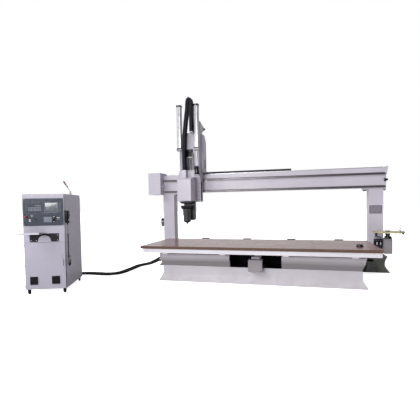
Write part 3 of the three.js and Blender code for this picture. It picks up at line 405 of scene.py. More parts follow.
class Shape:
    """A mesh built from lofted rings, written in millimetres in the part's frame or in a local one."""

    def __init__(self, name, body, looks, place=None):
        self.name, self.body = name, body
        self.looks = [looks] if isinstance(looks, str) else list(looks)
        self.place = place or Matrix.Identity(4)
        self.verts, self.faces, self.kinds = [], [], []

    def loft(self, rings, look=0, caps=True):
        """Joins rings of equally many points, and closes both ends."""
        start, size, known = len(self.verts), len(rings[0]), len(self.faces)
        for ring in rings:
            self.verts.extend(ring)
        last = start + (len(rings) - 1) * size
        for a in range(start, last, size):
            b = a + size
            for j in range(size):
                k = (j + 1) % size
                self.faces.append((a + j, a + k, b + k, b + j))
        if caps:
            self.faces.append(tuple(range(start, start + size)))
            self.faces.append(tuple(range(last, last + size)))
        self.kinds.extend([look] * (len(self.faces) - known))

    def box(self, x, y, z, look=0, chamfer=0.0):
        c = min(chamfer, (x[1] - x[0]) / 2.01, (z[1] - z[0]) / 2.01)
        if c <= 0:
            ring = [(x[0], z[0]), (x[1], z[0]), (x[1], z[1]), (x[0], z[1])]
        else:
            ring = [(x[0] + c, z[0]), (x[1] - c, z[0]), (x[1], z[0] + c), (x[1], z[1] - c),
                    (x[1] - c, z[1]), (x[0] + c, z[1]), (x[0], z[1] - c), (x[0], z[0] + c)]
        self.loft([[(a, depth, b) for a, b in ring] for depth in y], look)

    def prism(self, axis, outline, span, look=0):
        self.loft([[spread(axis, at, a, b) for a, b in outline] for at in span], look)

    def turn(self, axis, at, profile, sides=20, look=0, caps=True):
        """Rings of [radius, along] about an axis through at."""
        self.loft([[spread(axis, along, *on_circle(at, r, t)) for t in turns(sides, 0.5)]
                   for r, along in profile], look, caps)

    def pipe(self, points, radius, sides=8, look=0):
        """A tube along points; radius may be a list, one for each point."""
        self.loft(rings_along([Vector(p) for p in points], radius, sides), look)

    def screw(self, axis, at, base, out, radius=5.0, look=0):
        """A socket head cap screw standing out of a face; out is the signed height of its head."""
        r, h = radius, out
        profile = [(r, base), (r, base + 0.8 * h), (0.86 * r, base + h), (0.52 * r, base + h),
                   (0.50 * r, base + 0.45 * h), (0.02 * r, base + 0.4 * h)]
        self.turn(axis, at, profile, 12, look)

    def screw_ring(self, axis, at, ring, count, base, out, radius, look, offset=0.0):
        for t in turns(count, offset):
            self.screw(axis, on_circle(at, ring, t), base, out, radius, look)

    def done(self, bevel=0.8, replaces=(), slot=None, smooth=38):
        mesh = bpy.data.meshes.new(self.name)
        to_frame = Matrix.Scale(MM, 4) @ self.place
        mesh.from_pydata([to_frame @ Vector(v) for v in self.verts], [], self.faces)
        for key in self.looks:
            mesh.materials.append(LOOKS[key])
        mesh.polygons.foreach_set("material_index", self.kinds)
        work = bmesh.new()
        work.from_mesh(mesh)
        bmesh.ops.recalc_face_normals(work, faces=work.faces)
        work.to_mesh(mesh)
        work.free()
        piece = bpy.data.objects.new(self.name, mesh)
        bpy.context.scene.collection.objects.link(piece)
        soften(piece, bevel, smooth)
        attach(piece, self.body)
        if replaces:
            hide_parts(*([replaces] if isinstance(replaces, str) else replaces))
        return piece


def spread(axis, along, a, b):
    """A point from its place along an axis and its two other coordinates."""
    return {"x": (along, a, b), "y": (a, along, b), "z": (a, b, along)}[axis]


def knurled(axis, at, radius, along, sides, groove):
    """A ring about an axis with every other point sunk by groove."""
    return [spread(axis, along, *on_circle(at, radius - (groove if k % 2 else 0), t))
            for k, t in enumerate(turns(sides))]


def rings_along(points, radius, sides):
    """Circles square to a line of points, carried along it without twist."""
    rings, side = [], None
    for i, p in enumerate(points):
        ahead = (points[min(i + 1, len(points) - 1)] - points[max(i - 1, 0)]).normalized()
        if side is None:
            side = ahead.cross(Vector((0, 0, 1)) if abs(ahead.z) < 0.9 else Vector((0, 1, 0)))
        side = (side - ahead * side.dot(ahead)).normalized()
        over = ahead.cross(side)
        r = radius[i] if hasattr(radius, "__len__") else radius
        rings.append([tuple(p + side * (r * math.cos(t)) + over * (r * math.sin(t))) for t in turns(sides)])
    return rings


def soften(piece, width, smooth=38):
    """Breaks the edges of a piece by width millimetres and smooths what is meant to be round."""
    for polygon in piece.data.polygons:
        polygon.use_smooth = True
    piece.data.set_sharp_from_angle(angle=math.radians(smooth))
    if width:
        rim = piece.modifiers.new("edges", "BEVEL")
        rim.width, rim.segments, rim.limit_method = width * MM, 2, "ANGLE"
        rim.angle_limit = math.radians(smooth)
        rim.use_clamp_overlap = True
        rim.harden_normals = True


def catmull(control, steps):
    """A centripetal curve through control points, as evenly stepped in its parameter as the CAD's."""
    points = [Vector(p) for p in control]
    out = []
    last = len(points) - 1
    for step in range(steps + 1):
        t = step / steps * last
        i = min(int(t), last - 1)
        w = t - i
        p1, p2 = points[i], points[i + 1]
        p0 = points[i - 1] if i > 0 else p1 * 2 - p2
        p3 = points[i + 2] if i + 2 <= last else p2 * 2 - p1
        d0, d1, d2 = (max((b - a).length, 1e-6) ** 0.5 for a, b in ((p0, p1), (p1, p2), (p2, p3)))
        t1 = (p1 - p0) / d0 - (p2 - p0) / (d0 + d1) + (p2 - p1) / d1
        t2 = (p2 - p1) / d1 - (p3 - p1) / (d1 + d2) + (p3 - p2) / d2
        m1, m2 = t1 * d1, t2 * d1
        square, cube = -3 * p1 + 3 * p2 - 2 * m1 - m2, 2 * p1 - 2 * p2 + m1 + m2
        out.append(p1 + m1 * w + square * w ** 2 + cube * w ** 3)
    return out


def evenly(points, pitch):
    """The same line with its points a constant distance apart."""
    lengths = [0.0]
    for a, b in zip(points, points[1:]):
        lengths.append(lengths[-1] + (b - a).length)
    count = max(2, round(lengths[-1] / pitch))
    out, i = [], 0
    for step in range(count + 1):
        at = lengths[-1] * step / count
        while i < len(lengths) - 2 and lengths[i + 1] < at:
            i += 1
        share = (at - lengths[i]) / max(lengths[i + 1] - lengths[i], 1e-9)
        out.append(points[i].lerp(points[i + 1], min(1, share)))
    return out, lengths[-1]


# ------------------------------------------------------------------ the cabinet's own frame

PRESS = Vector(joint("stop_press")["axis"])
CABINET_RIGHT = Vector((PRESS.y, -PRESS.x, 0))
DOOR_HINGE = Vector(joint("door_open")["pos_m"])
HINGE_INSET = 3.0
CORNER = DOOR_HINGE / MM - CABINET_RIGHT * HINGE_INSET
CABINET = Matrix((
    (CABINET_RIGHT.x, PRESS.x, 0, CORNER.x),
    (CABINET_RIGHT.y, PRESS.y, 0, CORNER.y),
    (0, 0, 1, 0),
    (0, 0, 0, 1),
))
CABINET_WIDE, CABINET_DEEP = 660.0, 980.0


# ------------------------------------------------------------------ cords

CONDUIT_R = 25.0
LYING = CONDUIT_R + 2.5
FRONT_ROUTE = [
    (-3878.3, -2034.5, 130), (-3901, -1980, 129), (-3930, -1912, 112), (-3957, -1845, 78), (-3973, -1770, 42),
    (-3976, -1690, LYING), (-3938, -1584, LYING), (-3828, -1474, LYING), (-3678, -1434, LYING),
    (-3480, -1432, LYING), (-3290, -1434, LYING), (-3140, -1394, LYING), (-3030, -1284, LYING),
    (-2990, -1134, LYING), (-2985, -900, LYING), (-2990, -640, LYING), (-3000, -400, LYING),
    (-2960, -250, LYING), (-2862, -146, 36), (-2740, -104, 76), (-2650, -98, 118), (-2600, -98, 129),
    (-2548.9, -98, 130),
]
REAR_ROUTE = [
    (-3952.1, -2065.4, 130), (-3975, -2011, 129), (-4006, -1937, 110), (-4034, -1862, 74), (-4052, -1780, 38),
    (-4056, -1680, LYING), (-4010, -1538, LYING), (-3870, -1404, LYING), (-3678, -1354, LYING),
    (-3480, -1352, LYING), (-3300, -1352, LYING), (-3170, -1310, LYING), (-3094, -1220, LYING),
    (-3070, -1100, LYING), (-3066, -900, LYING), (-3072, -640, LYING), (-3080, -400, LYING),
    (-3030, -210, LYING), (-2900, -76, 50), (-2770, -28, 112), (-2670, -20, 166), (-2610, -20, 186),
    (-2548.9, -20, 188),
]


def conduit(name, node, route):
    """A corrugated conduit: a rib and a groove every 11 mm."""
    pitch, crest, root = 11.0, CONDUIT_R, CONDUIT_R - 3.2
    line, length = evenly(catmull(route, 900), pitch / 4)
    radii = [(root, crest, crest, root)[i % 4] for i in range(len(line))]
    shape = Shape(name, "root", "conduit")
    shape.loft(rings_along(line, radii, 14))
    tube = shape.done(bevel=0, replaces=node, slot="conduit", smooth=60)


conduit("floor_conduit_front", "conduit_front", FRONT_ROUTE)
conduit("floor_conduit_rear", "conduit_rear", REAR_ROUTE)

PENDANT_X, PENDANT_Y, PENDANT_LOW, PENDANT_TOP = CABINET_WIDE + 38, 52.0, 1213.0, 1430.0
CABINET_TOP, MAST_AT, MAST_LEAN = 1718.0, (640, 460), 0.547


def pendant_cord():
    """A thin lead, a curly middle in a slack loop and a thin end into the elbow on the cabinet's side."""
    wire, coil_r, turn_pitch = 2.5, 9.6, 9.5
    x, y = PENDANT_X, PENDANT_Y
    axis, long = evenly(catmull([
        (x, y, 1035), (x, y, 900), (x, y, 760), (x, y, 610), (x, y + 8, 530), (x - 1, y + 34, 478),
        (x - 2, y + 70, 474), (x - 3, y + 104, 510), (x - 4, y + 118, 560),
    ], 400), 0.5)
    turns = round(long / turn_pitch)
    per_turn = 12
    fine, _ = evenly(axis, long / (turns * per_turn))
    side = Vector((1, 0, 0))
    line = [Vector((x, y, z)) for z in (PENDANT_LOW - 1, 1180, 1140, 1100, 1062)]
    for i, p in enumerate(fine):
        ahead = (fine[min(i + 1, len(fine) - 1)] - fine[max(i - 1, 0)]).normalized()
        side = (side - ahead * side.dot(ahead)).normalized()
        over = ahead.cross(side)
        grow = min(1.0, i / per_turn, (len(fine) - 1 - i) / per_turn)
        angle = TAU * i / per_turn
        line.append(p + (side * math.cos(angle) + over * math.sin(angle)) * coil_r * grow)
    line += [Vector((x - 4, y + 120, z)) for z in (575, 588, 600)]
    shape = Shape("curly_lead", "root", "rubber", CABINET)
    shape.loft(rings_along(line, wire, 6))
    lead = shape.done(bevel=0, replaces="pendant_cord", slot="rubber", smooth=70)


pendant_cord()


# ------------------------------------------------------------------ CAD nodes that keep their shape

def dress(nodes, look, bevel):
    """Gives CAD nodes a look and soft edges; a bevel of 0 keeps the faces as they are, flat."""
    for node in nodes.split():
        piece = frame["nodes"][node]
        piece.data.materials.clear()
        piece.data.materials.append(LOOKS[look])
        if piece.data.has_custom_normals:
            with bpy.context.temp_override(object=piece, active_object=piece, selected_objects=[piece]):
                bpy.ops.mesh.customdata_custom_splitnormals_clear()
        if bevel:
            weld = piece.modifiers.new("weld", "WELD")
            weld.merge_threshold = 1e-5
            soften(piece, bevel, 30)
        else:
            piece.data.shade_flat()


dress("front_plinth rear_plinth", "bed", 4)
dress("bed_left bed_right", "bed_upper", 4)
# the table motor's cover gets the machine paint with painted shade
dress("y_motor_cover", "shaded", 3)
dress("gantry_base", "base", 4)
dress("column_left", "paint", 0)
dress("column_right beam chain_tray beam_end_cover", "paint", 3)
dress("x_saddle z_column", "paint", 2)
dress("z_motor_cover head_cover", "cover", 4)
dress("z_ram", "ram", 1.5)
# the disc's post gets the same painted shade
dress("magazine_post", "shaded", 3)
dress("table_frame", "apron", 2)
dress("table_board", "board", 2)
dress("cabinet_shell cabinet_door", "cabinet", 2)
dress("operator_shelf", "cover", 1.5)
dress("caster_fork_left caster_fork_right", "black", 0.6)


# ------------------------------------------------------------------ beds and table

def guide_rail(name, body, along, across, face, start, end, look, pitch=60.0, node=None, slot=None, squat=1.0,
               plug=7.2):
    """A profiled guide rail: waisted sides, and counterbored bolts along its open face.

    along is the axis it runs on, face the (axis, place, outward sign) of its open face and across
    the place of its middle on the third axis.
    """
    face_axis, face_at, sign = face
    half, waist, deep = 17.0, 11.5, 28.7
    section = [(-half, 0), (-half, -9), (-waist, -13), (-waist, -19), (-half, -23), (-half, -deep),
               (half, -deep), (half, -23), (waist, -19), (waist, -13), (half, -9), (half, 0)]
    section = [(a, d * squat) for a, d in section]
    shape = Shape(name, body, [look, "void", "steel"])

    def at(place, a, depth):
        point = {along: place, face_axis: face_at + sign * depth}
        third = next(k for k in "xyz" if k not in point)
        point[third] = across + a
        return (point["x"], point["y"], point["z"])

    shape.loft([[at(place, a, d) for a, d in section] for place in (start, end)])
    count = int((end - start - 40) / pitch)
    offset = (end - start - count * pitch) / 2
    for i in range(count + 1):
        middle = start + offset + i * pitch
        ring = [on_circle((0, 0), plug, t) for t in turns(10)]
        shape.loft([[at(middle + u, v, d) for u, v in ring] for d in (-1.0, 0.25)], 1)
        inner = [(0.72 * u, 0.72 * v) for u, v in ring]
        shape.loft([[at(middle + u, v, d) for u, v in inner] for d in (0.0, 0.45)], 2)
    return shape.done(bevel=0, replaces=node or (), slot=slot)


def x_rails():
    """The two guide rails on the beam's front."""
    for node in ("x_rail_upper", "x_rail_lower"):
        x, y, z = box_mm(node)
        guide_rail(node.replace("x_rail", "guide_rail"), "root", "x", mid(z),
                   ("y", y[0], -1), x[0], x[1], "rail", node=node, slot="rail_steel", plug=9.5)


def beam_details():
    """Rail ledges, a bumper, flange bolts and the joint lines of the beam."""
    x, y, z = box_mm("beam")
    shape = Shape("beam_ledges", "root", ["paint", "dark_steel", "rubber", "void"])
    for rail in ("x_rail_upper", "x_rail_lower"):
        rx, _, rz = box_mm(rail)
        shape.box((rx[0], rx[1]), (y[0] - 7, y[0] + 1), (rz[0] - 17, rz[0] - 3.2))
        shape.box((rx[0], rx[1]), (y[0] - 1.5, y[0] + 1), (rz[1] + 3, rz[1] + 9), 3)
    stop_x, middle = x[1] - 34, 1948
    shape.turn("x", (y[0] - 45, middle), [(13, stop_x), (13, stop_x + 20), (24, stop_x + 22),
                                          (24, stop_x + 46), (18, stop_x + 54)], 20, 2)
    shape.box((stop_x - 10, stop_x + 12), (y[0] - 66, y[0] + 1), (middle - 34, middle + 34), 1)
    flange = z[0] - 39
    for bolt_x in (-2143, 2140, 2505):
        for depth in (-100, 100):
            shape.screw("z", (bolt_x, depth), flange, -22, 17, 1)
            shape.turn("z", (bolt_x, depth), [(24, flange), (24, flange - 5)], 16, 1)
    shape.done(bevel=0.6, slot="paint")


def x_rack():
    """The toothed rack, one outline with all its teeth."""
    x, y, z = box_mm("x_rack")
    pitch, tall = 9.425, 6.5
    outline = [(x[1], y[1]), (x[0], y[1])]
    teeth = int((x[1] - x[0]) / pitch)
    for i in range(teeth):
        left = x[0] + i * pitch
        outline += [(left, y[0] + tall), (left + 2.0, y[0] + tall), (left + 4.2, y[0]), (left + 6.6, y[0]),
                    (left + 8.8, y[0] + tall)]
    outline.append((x[1], y[0] + tall))
    shape = Shape("helical_rack", "root", "steel")
    shape.prism("z", outline, z)
    shape.done(bevel=0, replaces="x_rack", slot="rail_steel")


def pinion():
    """The rack's pinion: a toothed wheel on its shaft."""
    x, y, z = box_mm("x_pinion")
    middle = (mid(x), mid(y))
    outer, teeth = (x[1] - x[0]) / 2, 18
    root = outer - 6
    ring = []
    for i in range(teeth):
        for share, r in ((0.05, root), (0.22, outer), (0.45, outer), (0.62, root)):
            ring.append(on_circle(middle, r, TAU * (i + share) / teeth))
    shape = Shape("rack_pinion", "pinion", ["steel", "dark_steel"])
    shape.prism("z", ring, z)
    shape.turn("z", middle, [(14, z[0] - 2), (14, z[0] + 1)], 16, 1)
    shape.done(bevel=0.3, replaces="x_pinion", slot="screw_steel")


def ball_screw(name, body, axis, node, lead, slot, groove=2.4):
    """A ball screw: a real helical groove, its ends turned plain."""
    box = box_mm(node)
    index = "xyz".index(axis)
    others = [i for i in range(3) if i != index]
    at = [mid(box[i]) for i in others]
    radius = (box[others[0]][1] - box[others[0]][0]) / 2
    start, end = box[index]
    sides, per_lead, plain_end = 14, 10, 20
    steps = int((end - start) / lead * per_lead)
    rings = []
    for i in range(steps + 1):
        along = start + (end - start) * i / steps
        plain = min(1.0, max(0.0, (min(along - start, end - along) - plain_end) / plain_end))
        ring = []
        for k in range(sides):
            t = TAU * k / sides
            wave = 0.5 + 0.5 * math.cos(TAU * along / lead - t)
            r = radius - groove * plain * wave ** 2
            ring.append(spread(axis, along, *on_circle(at, r, t)))
        rings.append(ring)
    shape = Shape(name, body, ["steel_z" if axis == "z" else "steel_y"])
    shape.loft(rings)
    shape.done(bevel=0, replaces=node, slot=slot, smooth=70)


def chain_links(shape, line, wide, thick, pitch, across):
    """Chain links along a line: two waisted side plates and two cross bars to each link.

    across is the direction of the chain's width, and the links stand square to the line.
    """
    points, _ = evenly(line, pitch)
    for a, b in zip(points, points[1:]):
        ahead = (b - a).normalized()
        up = across.cross(ahead).normalized()
        middle = (a + b) / 2
        reach = (b - a).length * 0.5

        def at(s, w, h):
            return tuple(middle + ahead * s + across * w + up * h)

        h = thick / 2
        upper = [(0.86, 0.7), (0.62, 1), (-0.7, 1), (-1.12, 0.72)]
        waisted = [(a * reach, b * h) for a, b in [(a, -b) for a, b in reversed(upper)] + upper]
        for sign in (-1, 1):
            outer, inner = sign * wide / 2, sign * (wide / 2 - 9)
            shape.loft([[at(s, w, q) for s, q in waisted] for w in (outer, inner)])
            pin = [on_circle((-reach * 0.5, 0), 0.2 * thick, t) for t in turns(10)]
            shape.loft([[at(s, w, q) for s, q in pin] for w in (outer, outer - sign * 2)], 1)
        for sign in (-1, 1):
            bar = [(-reach * 0.62, sign * (h - 6)), (reach * 0.45, sign * (h - 6)),
                   (reach * 0.45, sign * (h - 0.6)), (-reach * 0.62, sign * (h - 0.6))]
            shape.loft([[at(s, w, q) for s, q in bar] for w in (-wide / 2 + 8, wide / 2 - 8)])


def cable_bundle(shape, line, across, offsets, radius, look):
    """Cables inside a chain: each offset is one cable's place across it and above its middle."""
    for offset, lift in offsets:
        moved = []
        for i, p in enumerate(line):
            ahead = (line[min(i + 1, len(line) - 1)] - line[max(i - 1, 0)]).normalized()
            moved.append(p + across * offset + across.cross(ahead).normalized() * lift)
        shape.pipe(moved, radius, 8, look)


def beam_chain():
    """The cable chain that slides along the beam, with its cables."""
    x, y, z = box_mm("x_drag_chain")
    middle_y, middle_z = mid(y), mid(z)
    line = [Vector((x[0] + 4, middle_y, middle_z)), Vector((x[1] - 4, middle_y, middle_z))]
    shape = Shape("beam_chain_links", "x_chain", ["chain", "dark_steel", "rubber"])
    chain_links(shape, line, y[1] - y[0], z[1] - z[0] - 1, 46, Vector((0, 1, 0)))
    spaced, _ = evenly(line, 200)
    cable_bundle(shape, spaced, Vector((0, 1, 0)), [(-25, 0), (-8, 6), (10, -4), (27, 2)], 7, 2)
    shape.done(bevel=0.8, replaces="x_drag_chain", slot="chain_plastic")


Y_RAIL_PLACES = (565, 1690)


def y_rails():
    """The guide rails on the bed under the table."""
    for side, hand in ((-1, "left"), (1, "right")):
        _, y, z = box_mm(f"bed_{hand}")
        for rail_x in Y_RAIL_PLACES:
            guide_rail(f"y_rail_{hand}_{rail_x}", "root", "y", side * rail_x, ("z", z[1] + 0.4, 1),
                       y[0] + 20, y[1] - 10, "steel_y", pitch=80)


def rail_end_stops():
    """Rubber-faced end stops by the table's rails."""
    top, middle_y = 591, 826
    stops = Shape("rail_end_stops", "root", ["dark_steel", "rubber", "steel"])
    for stop_x in (-1690, -565, 565, 1690):
        stops.box((stop_x - 104, stop_x + 104), (806, 846), (566.6, top), 0, 6)
        stops.box((stop_x - 60, stop_x + 60), (793, 807), (570, top - 3), 1, 5)
        for offset in (-70, 70):
            stops.screw("z", (stop_x + offset, middle_y), top, 4, 7, 2)
    stops.done(bevel=1.2, slot="dark_steel")


def bed_gap_shade_sheets():
    """Dark sheets painted as shade inside the gap between the bed halves: on its cheeks, its floor and the
    wall behind.
    """
    left, (front, _), (low, _) = box_mm("bed_left")
    gap = (left[1], box_mm("bed_right")[0][0])
    back, motor_half, thick = box_mm("front_plinth")[1][1], 77, 3
    shade_sheets = Shape("bed_gap_shade_sheets", "root", ["void", "rubber"])
    # black sheets on the cheeks, floor and back wall of the gap: painted shade
    for cheek in ((gap[0] + 0.4, gap[0] + thick), (gap[1] - thick, gap[1] - 0.4)):
        shade_sheets.box(cheek, (front + 70, front + 900), (low + thick, 536), 0)
        shade_sheets.box(cheek, (front + 6, front + 72), (430, 536), 0)
    for span in ((gap[0] + thick, -motor_half), (motor_half, gap[1] - thick)):
        shade_sheets.box(span, (front + 90, back - 4), (low, low + thick), 0)
        shade_sheets.box(span, (back - 8, back - 4), (low + 2, 528), 0)
    shade_sheets.done(bevel=0, slot="rubber")


def plinth_fixings():
    """Levelling screws along the outer foot of each plinth, and two anchor notches at the front."""
    feet = Shape("plinth_fixings", "root", ["dark_steel", "zinc", "void", "paint"])
    inset, pitch, count = 22, 460, 8
    (left, right), (front, _), _ = box_mm("front_plinth")
    for i in range(count):
        bolt_x = (i - (count - 1) / 2) * pitch
        for bolt_y in (front + inset, box_mm("rear_plinth")[1][1] - inset):
            feet.turn("z", (bolt_x, bolt_y), [(15, 14), (15, 19), (9, 19.5), (9, 30), (2, 31)], 6, 1)
    for notch_x in (left + 44, right - 44):
        feet.box((notch_x - 15, notch_x + 15), (front + 16, front + 40), (15, 37), 0, 4)
    feet.done(bevel=0.8, slot="paint")


def board_fixings():
    """Seams between the board's panels, their countersunk screws, and the screws along the apron."""
    x, y, z = box_mm("table_board")
    seams = Shape("board_fixings", "table", ["void", "steel_z", "cover"])
    panels, half_seam = 4, 0.9
    width = (x[1] - x[0]) / panels
    for i in range(1, panels):
        at = x[0] + i * width
        seams.box((at - half_seam, at + half_seam), (y[0] + 1, y[1] - 1), (z[1] - 0.4, z[1] + 0.15), 0)
        seams.box((at - half_seam, at + half_seam), (y[0] - 0.15, y[0] + 0.5), (z[0] + 1, z[1] - 1), 0)
    head = [(9, z[1] - 0.5), (9, z[1] + 0.25), (6, z[1] + 0.1), (3, z[1] - 0.4)]
    for i in range(panels):
        for share_x in (0.06, 0.35, 0.65, 0.94):
            for share_y in (0.07, 0.5, 0.93):
                at = (x[0] + (i + share_x) * width, y[0] + share_y * (y[1] - y[0]))
                seams.turn("z", at, head, 14, 1)
    fx, fy, _ = box_mm("table_frame")
    apron_low, margin, screws = 592.0, 90, 9
    for i in range(screws):
        at = fx[0] + margin + i * (fx[1] - fx[0] - 2 * margin) / (screws - 1)
        seams.screw("y", (at, apron_low + 22), fy[0], -4, 6, 1)
    seams.done(bevel=0, slot="board")


def table_knob():
    """The black knob on the right end of the table frame, on its square plate."""
    end, at, half = box_mm("table_frame")[0][1], (-1872, 637), 18
    knob = Shape("table_end_knob", "table", ["black", "steel"])
    knob.turn("x", at, [(6, end - 1), (6, end + 8), (15, end + 9), (16, end + 12), (15, end + 17),
                        (9, end + 20)], 16, 0)
    knob.box((end - 0.5, end + 3), (at[0] - half, at[0] + half), (at[1] - half, at[1] + half), 1, 3)
    knob.done(bevel=0.5, slot="black_plastic")


def setter():
    """The tool length setter: a stepped body with a bore that takes the pressed plunger."""
    x, y, z = box_mm("tool_setter")
    at, r = (mid(x), mid(y)), (x[1] - x[0]) / 2
    bore, floor_z = 19.5, z[1] - 15
    body = Shape("tool_setter_body", "table", ["dark_steel", "zinc", "void"])
    body.turn("z", at, [(r, z[0]), (r, z[0] + 12), (r - 6, z[0] + 16), (r - 12, z[0] + 34), (r - 15, z[1]),
                        (bore, z[1]), (bore, floor_z), (3, floor_z - 1)], 32, 0)
    body.screw_ring("z", at, r - 9, 4, z[0] + 12, 3.5, 4.5, 1, offset=0.5)
    body.done(bevel=0.6, replaces="tool_setter", slot="dark_steel")
    low, top = box_mm("tool_setter_button")[2]
    cap = Shape("setter_plunger_cap", "setter_plunger", ["chrome"])
    cap.turn("z", at, [(17, low + 0.3), (17, top - 3), (14, top), (13, top - 0.6), (2, top - 0.6)], 28)
    cap.done(bevel=0.4, replaces="tool_setter_button", slot="screw_steel")


def motor_cover_details():
    """Screws, slits and a gland on the cover of the table's motor."""
    x, y, z = box_mm("y_motor_cover")
    shape = Shape("motor_cover_fixings", "root", ["dark_steel", "cover", "void"])
    for sx in (x[0] + 16, x[1] - 16):
        for sz in (z[0] + 16, z[1] - 16):
            shape.screw("y", (sx, sz), y[0], -3.5, 5.5, 0)
    shape.turn("y", (x[1] - 22, z[0] + 16), [(9, y[0] + 0.2), (9, y[0] - 5), (5, y[0] - 8)], 14, 0)
    for i in range(7):
        slit_z = z[0] + 70 + i * 15
        for side_x in x:
            shape.box((side_x - 1.2, side_x + 1.2), (y[0] + 28, y[1] - 30), (slit_z, slit_z + 5), 2, 1)
    shape.done(bevel=0.4, slot="paint")


def base_box():
    """The lubrication box in front of the gantry base's right end, with its filler cap and sight glass."""
    shape = Shape("lubricator_box", "root", ["base", "void", "black", "smoke"])
    base = box_mm("gantry_base")[1][0]
    for x, near, far, z, look, chamfer in (
        ((2114, 2294), 188, 26, (39, 262), 0, 8),
        ((2120, 2288), 190, 186, (50, 250), 0, 6),
        ((2128, 2262), 150, 34, (262, 289), 1, 6),
        ((2150, 2180), 192, 189, (96, 208), 3, 4),
        ((2130, 2278), 30, -8, (60, 230), 0, 4),
    ):
        shape.box(x, (base - near, base - far), z, look, chamfer)
    shape.turn("z", (2210, base - 92), [(16, 288), (16, 300), (11, 304)], 14, 2)
    shape.done(bevel=2.0, slot="base_paint")


def base_bolts():
    """The bolts behind the columns' feet."""
    cap = Shape("base_joint_bolts", "root", ["dark_steel"])
    for bolt_x in (-2478, -2200, 2200, 2478):
        cap.screw("z", (bolt_x, 165), 368, 14, 14)
    cap.done(bevel=0.6, slot="dark_steel")


def valve_bank():
    """Solenoid valves on a manifold, their push-in fittings and the air hoses up the column."""
    x, y, z = box_mm("valve_block")
    shape = Shape("valve_bank", "root", ["black", "white", "zinc", "key_dark"])
    front, back = y
    shape.box(x, (back - 46, back), (z[0] + 10, z[1]), 0, 4)
    count = 5
    pitch = (x[1] - x[0]) / count
    for i in range(count):
        left = x[0] + i * pitch + 4
        right = left + pitch - 8
        shape.box((left, right), (front + 8, back - 44), (z[0] + 40, z[1] - 42), 0, 3)
        shape.box((left + 3, right - 3), (front + 1, front + 9), (z[0] + 92, z[1] - 60), 1 if i % 2 else 0, 2)
        shape.box((left + 5, right - 5), (front + 4, front + 12), (z[0] + 50, z[0] + 84), 3, 2)
        for tall in (z[1] - 26, z[0] + 24):
            fitting = [(8, back - 44), (8, back - 58), (5.6, back - 59), (5.6, back - 70)]
            shape.turn("y", (mid((left, right)), tall), fitting, 12, 2)
    shape.done(bevel=0.8, replaces="valve_block", slot="black_plastic")
    hoses = Shape("valve_hoses", "root", ["blue_hose", "black"])
    for i in range(count):
        at = x[0] + (i + 0.5) * pitch
        upright = x[0] + 30 + 9 * i
        route = [(at, back - 66, z[1] - 26), (at, back - 76, z[1] - 18), (at, back - 76, z[1] + 6),
                 (at - 6 - 3 * i, back - 40, z[1] + 40), (upright, back - 10, z[1] + 64),
                 (upright, back - 5.5, z[1] + 96), (upright, back - 5.5, z[1] + 130)]
        hoses.pipe(catmull(route, 24), 4, 8, i % 2)
    hoses.box((x[0] + 18, x[0] + 80), (back - 20, back), (z[1] + 122, z[1] + 142), 1, 4)
    hoses.done(bevel=0, slot="black_plastic")


def air_unit():
    """The filter regulator on the left column: bracket, bowl with its guard, gauge and knob."""
    x, _, z = box_mm("air_filter_unit")
    kx, ky, kz = box_mm("regulator_knob")
    at = (mid(kx), mid(ky))
    shape = Shape("air_filter_regulator", "root", ["smoke", "black", "zinc", "white", "dark_steel"])
    shape.turn("z", at, [(6, z[0] + 0.5), (9, z[0] + 8), (16, z[0] + 10), (30, z[0] + 22), (34, z[0] + 34),
                         (34, z[0] + 96)], 24, 0)
    for t in turns(8):
        bar = on_circle(at, 35.5, t)
        shape.pipe([(*bar, z[0] + h) for h in (34, 60, 98)], 2.6, 6, 1)
    shape.turn("z", at, [(37, z[0] + 94), (38, z[0] + 98), (38, z[0] + 106), (36, z[0] + 108)], 24, 1)
    shape.box((at[0] - 40, at[0] + 40), (-38, 38), (z[0] + 108, z[1] - 14), 2, 10)
    shape.turn("z", at, [(40, z[1] - 14), (40, z[1] - 3), (36, z[1])], 24, 1)
    gauge = (at[0], z[0] + 132)
    shape.turn("y", gauge, [(22, -38), (22, -43), (24, -44), (24, -50), (21, -52), (20, -49), (2, -48.5)],
               24, 1)
    shape.turn("y", gauge, [(19.5, -49.4), (19.5, -49.0)], 24, 3)
    shape.box((at[0] + 30, x[1]), (-30, 30), (1077, 1093), 4, 3)
    shape.done(bevel=0.8, replaces="air_filter_unit", slot="smoke_plastic")
    knob = Shape("regulator_cap", "regulator", ["black"])
    knob.loft([knurled("z", at, r, h, 36, 1.5)
               for r, h in ((30, kz[0] + 0.3), (31.6, kz[0] + 3), (31.6, kz[1] - 6), (27, kz[1] - 0.5))])
    knob.done(bevel=0.3, replaces="regulator_knob", slot="black_plastic")


def data_plate():
    """A blank plate on the front of the right column."""
    face, x, z = -107.0, (2214, 2454), (1247, 1416)
    shape = Shape("data_plate", "root", ["panel", "plate", "zinc"])
    shape.box(x, (face - 2.2, face), z, 0, 4)
    shape.box((x[0] + 9, x[1] - 9), (face - 2.9, face - 1), (z[0] + 9, z[1] - 9), 1, 3)
    for sx in (x[0] + 5, x[1] - 5):
        for sz in (z[0] + 5, z[1] - 5):
            shape.turn("y", (sx, sz), [(3, face - 2), (3, face - 3.2), (1, face - 3.9)], 10, 2)
    shape.done(bevel=0.4, slot="panel_navy")


x_rails()
beam_details()
x_rack()
pinion()
ball_screw("table_ball_screw", "y_screw", "y", "y_ball_screw", 32, "screw_steel")
ball_screw("z_feed_screw", "z_screw", "z", "z_ball_screw", 25, "screw_steel", 1.8)
beam_chain()
y_rails()
rail_end_stops()
bed_gap_shade_sheets()
plinth_fixings()
board_fixings()
table_knob()
setter()
motor_cover_details()
base_box()
base_bolts()
valve_bank()
air_unit()
data_plate()


# ------------------------------------------------------------------ head

HEAD_X = mid(box_mm("z_ram")[0])


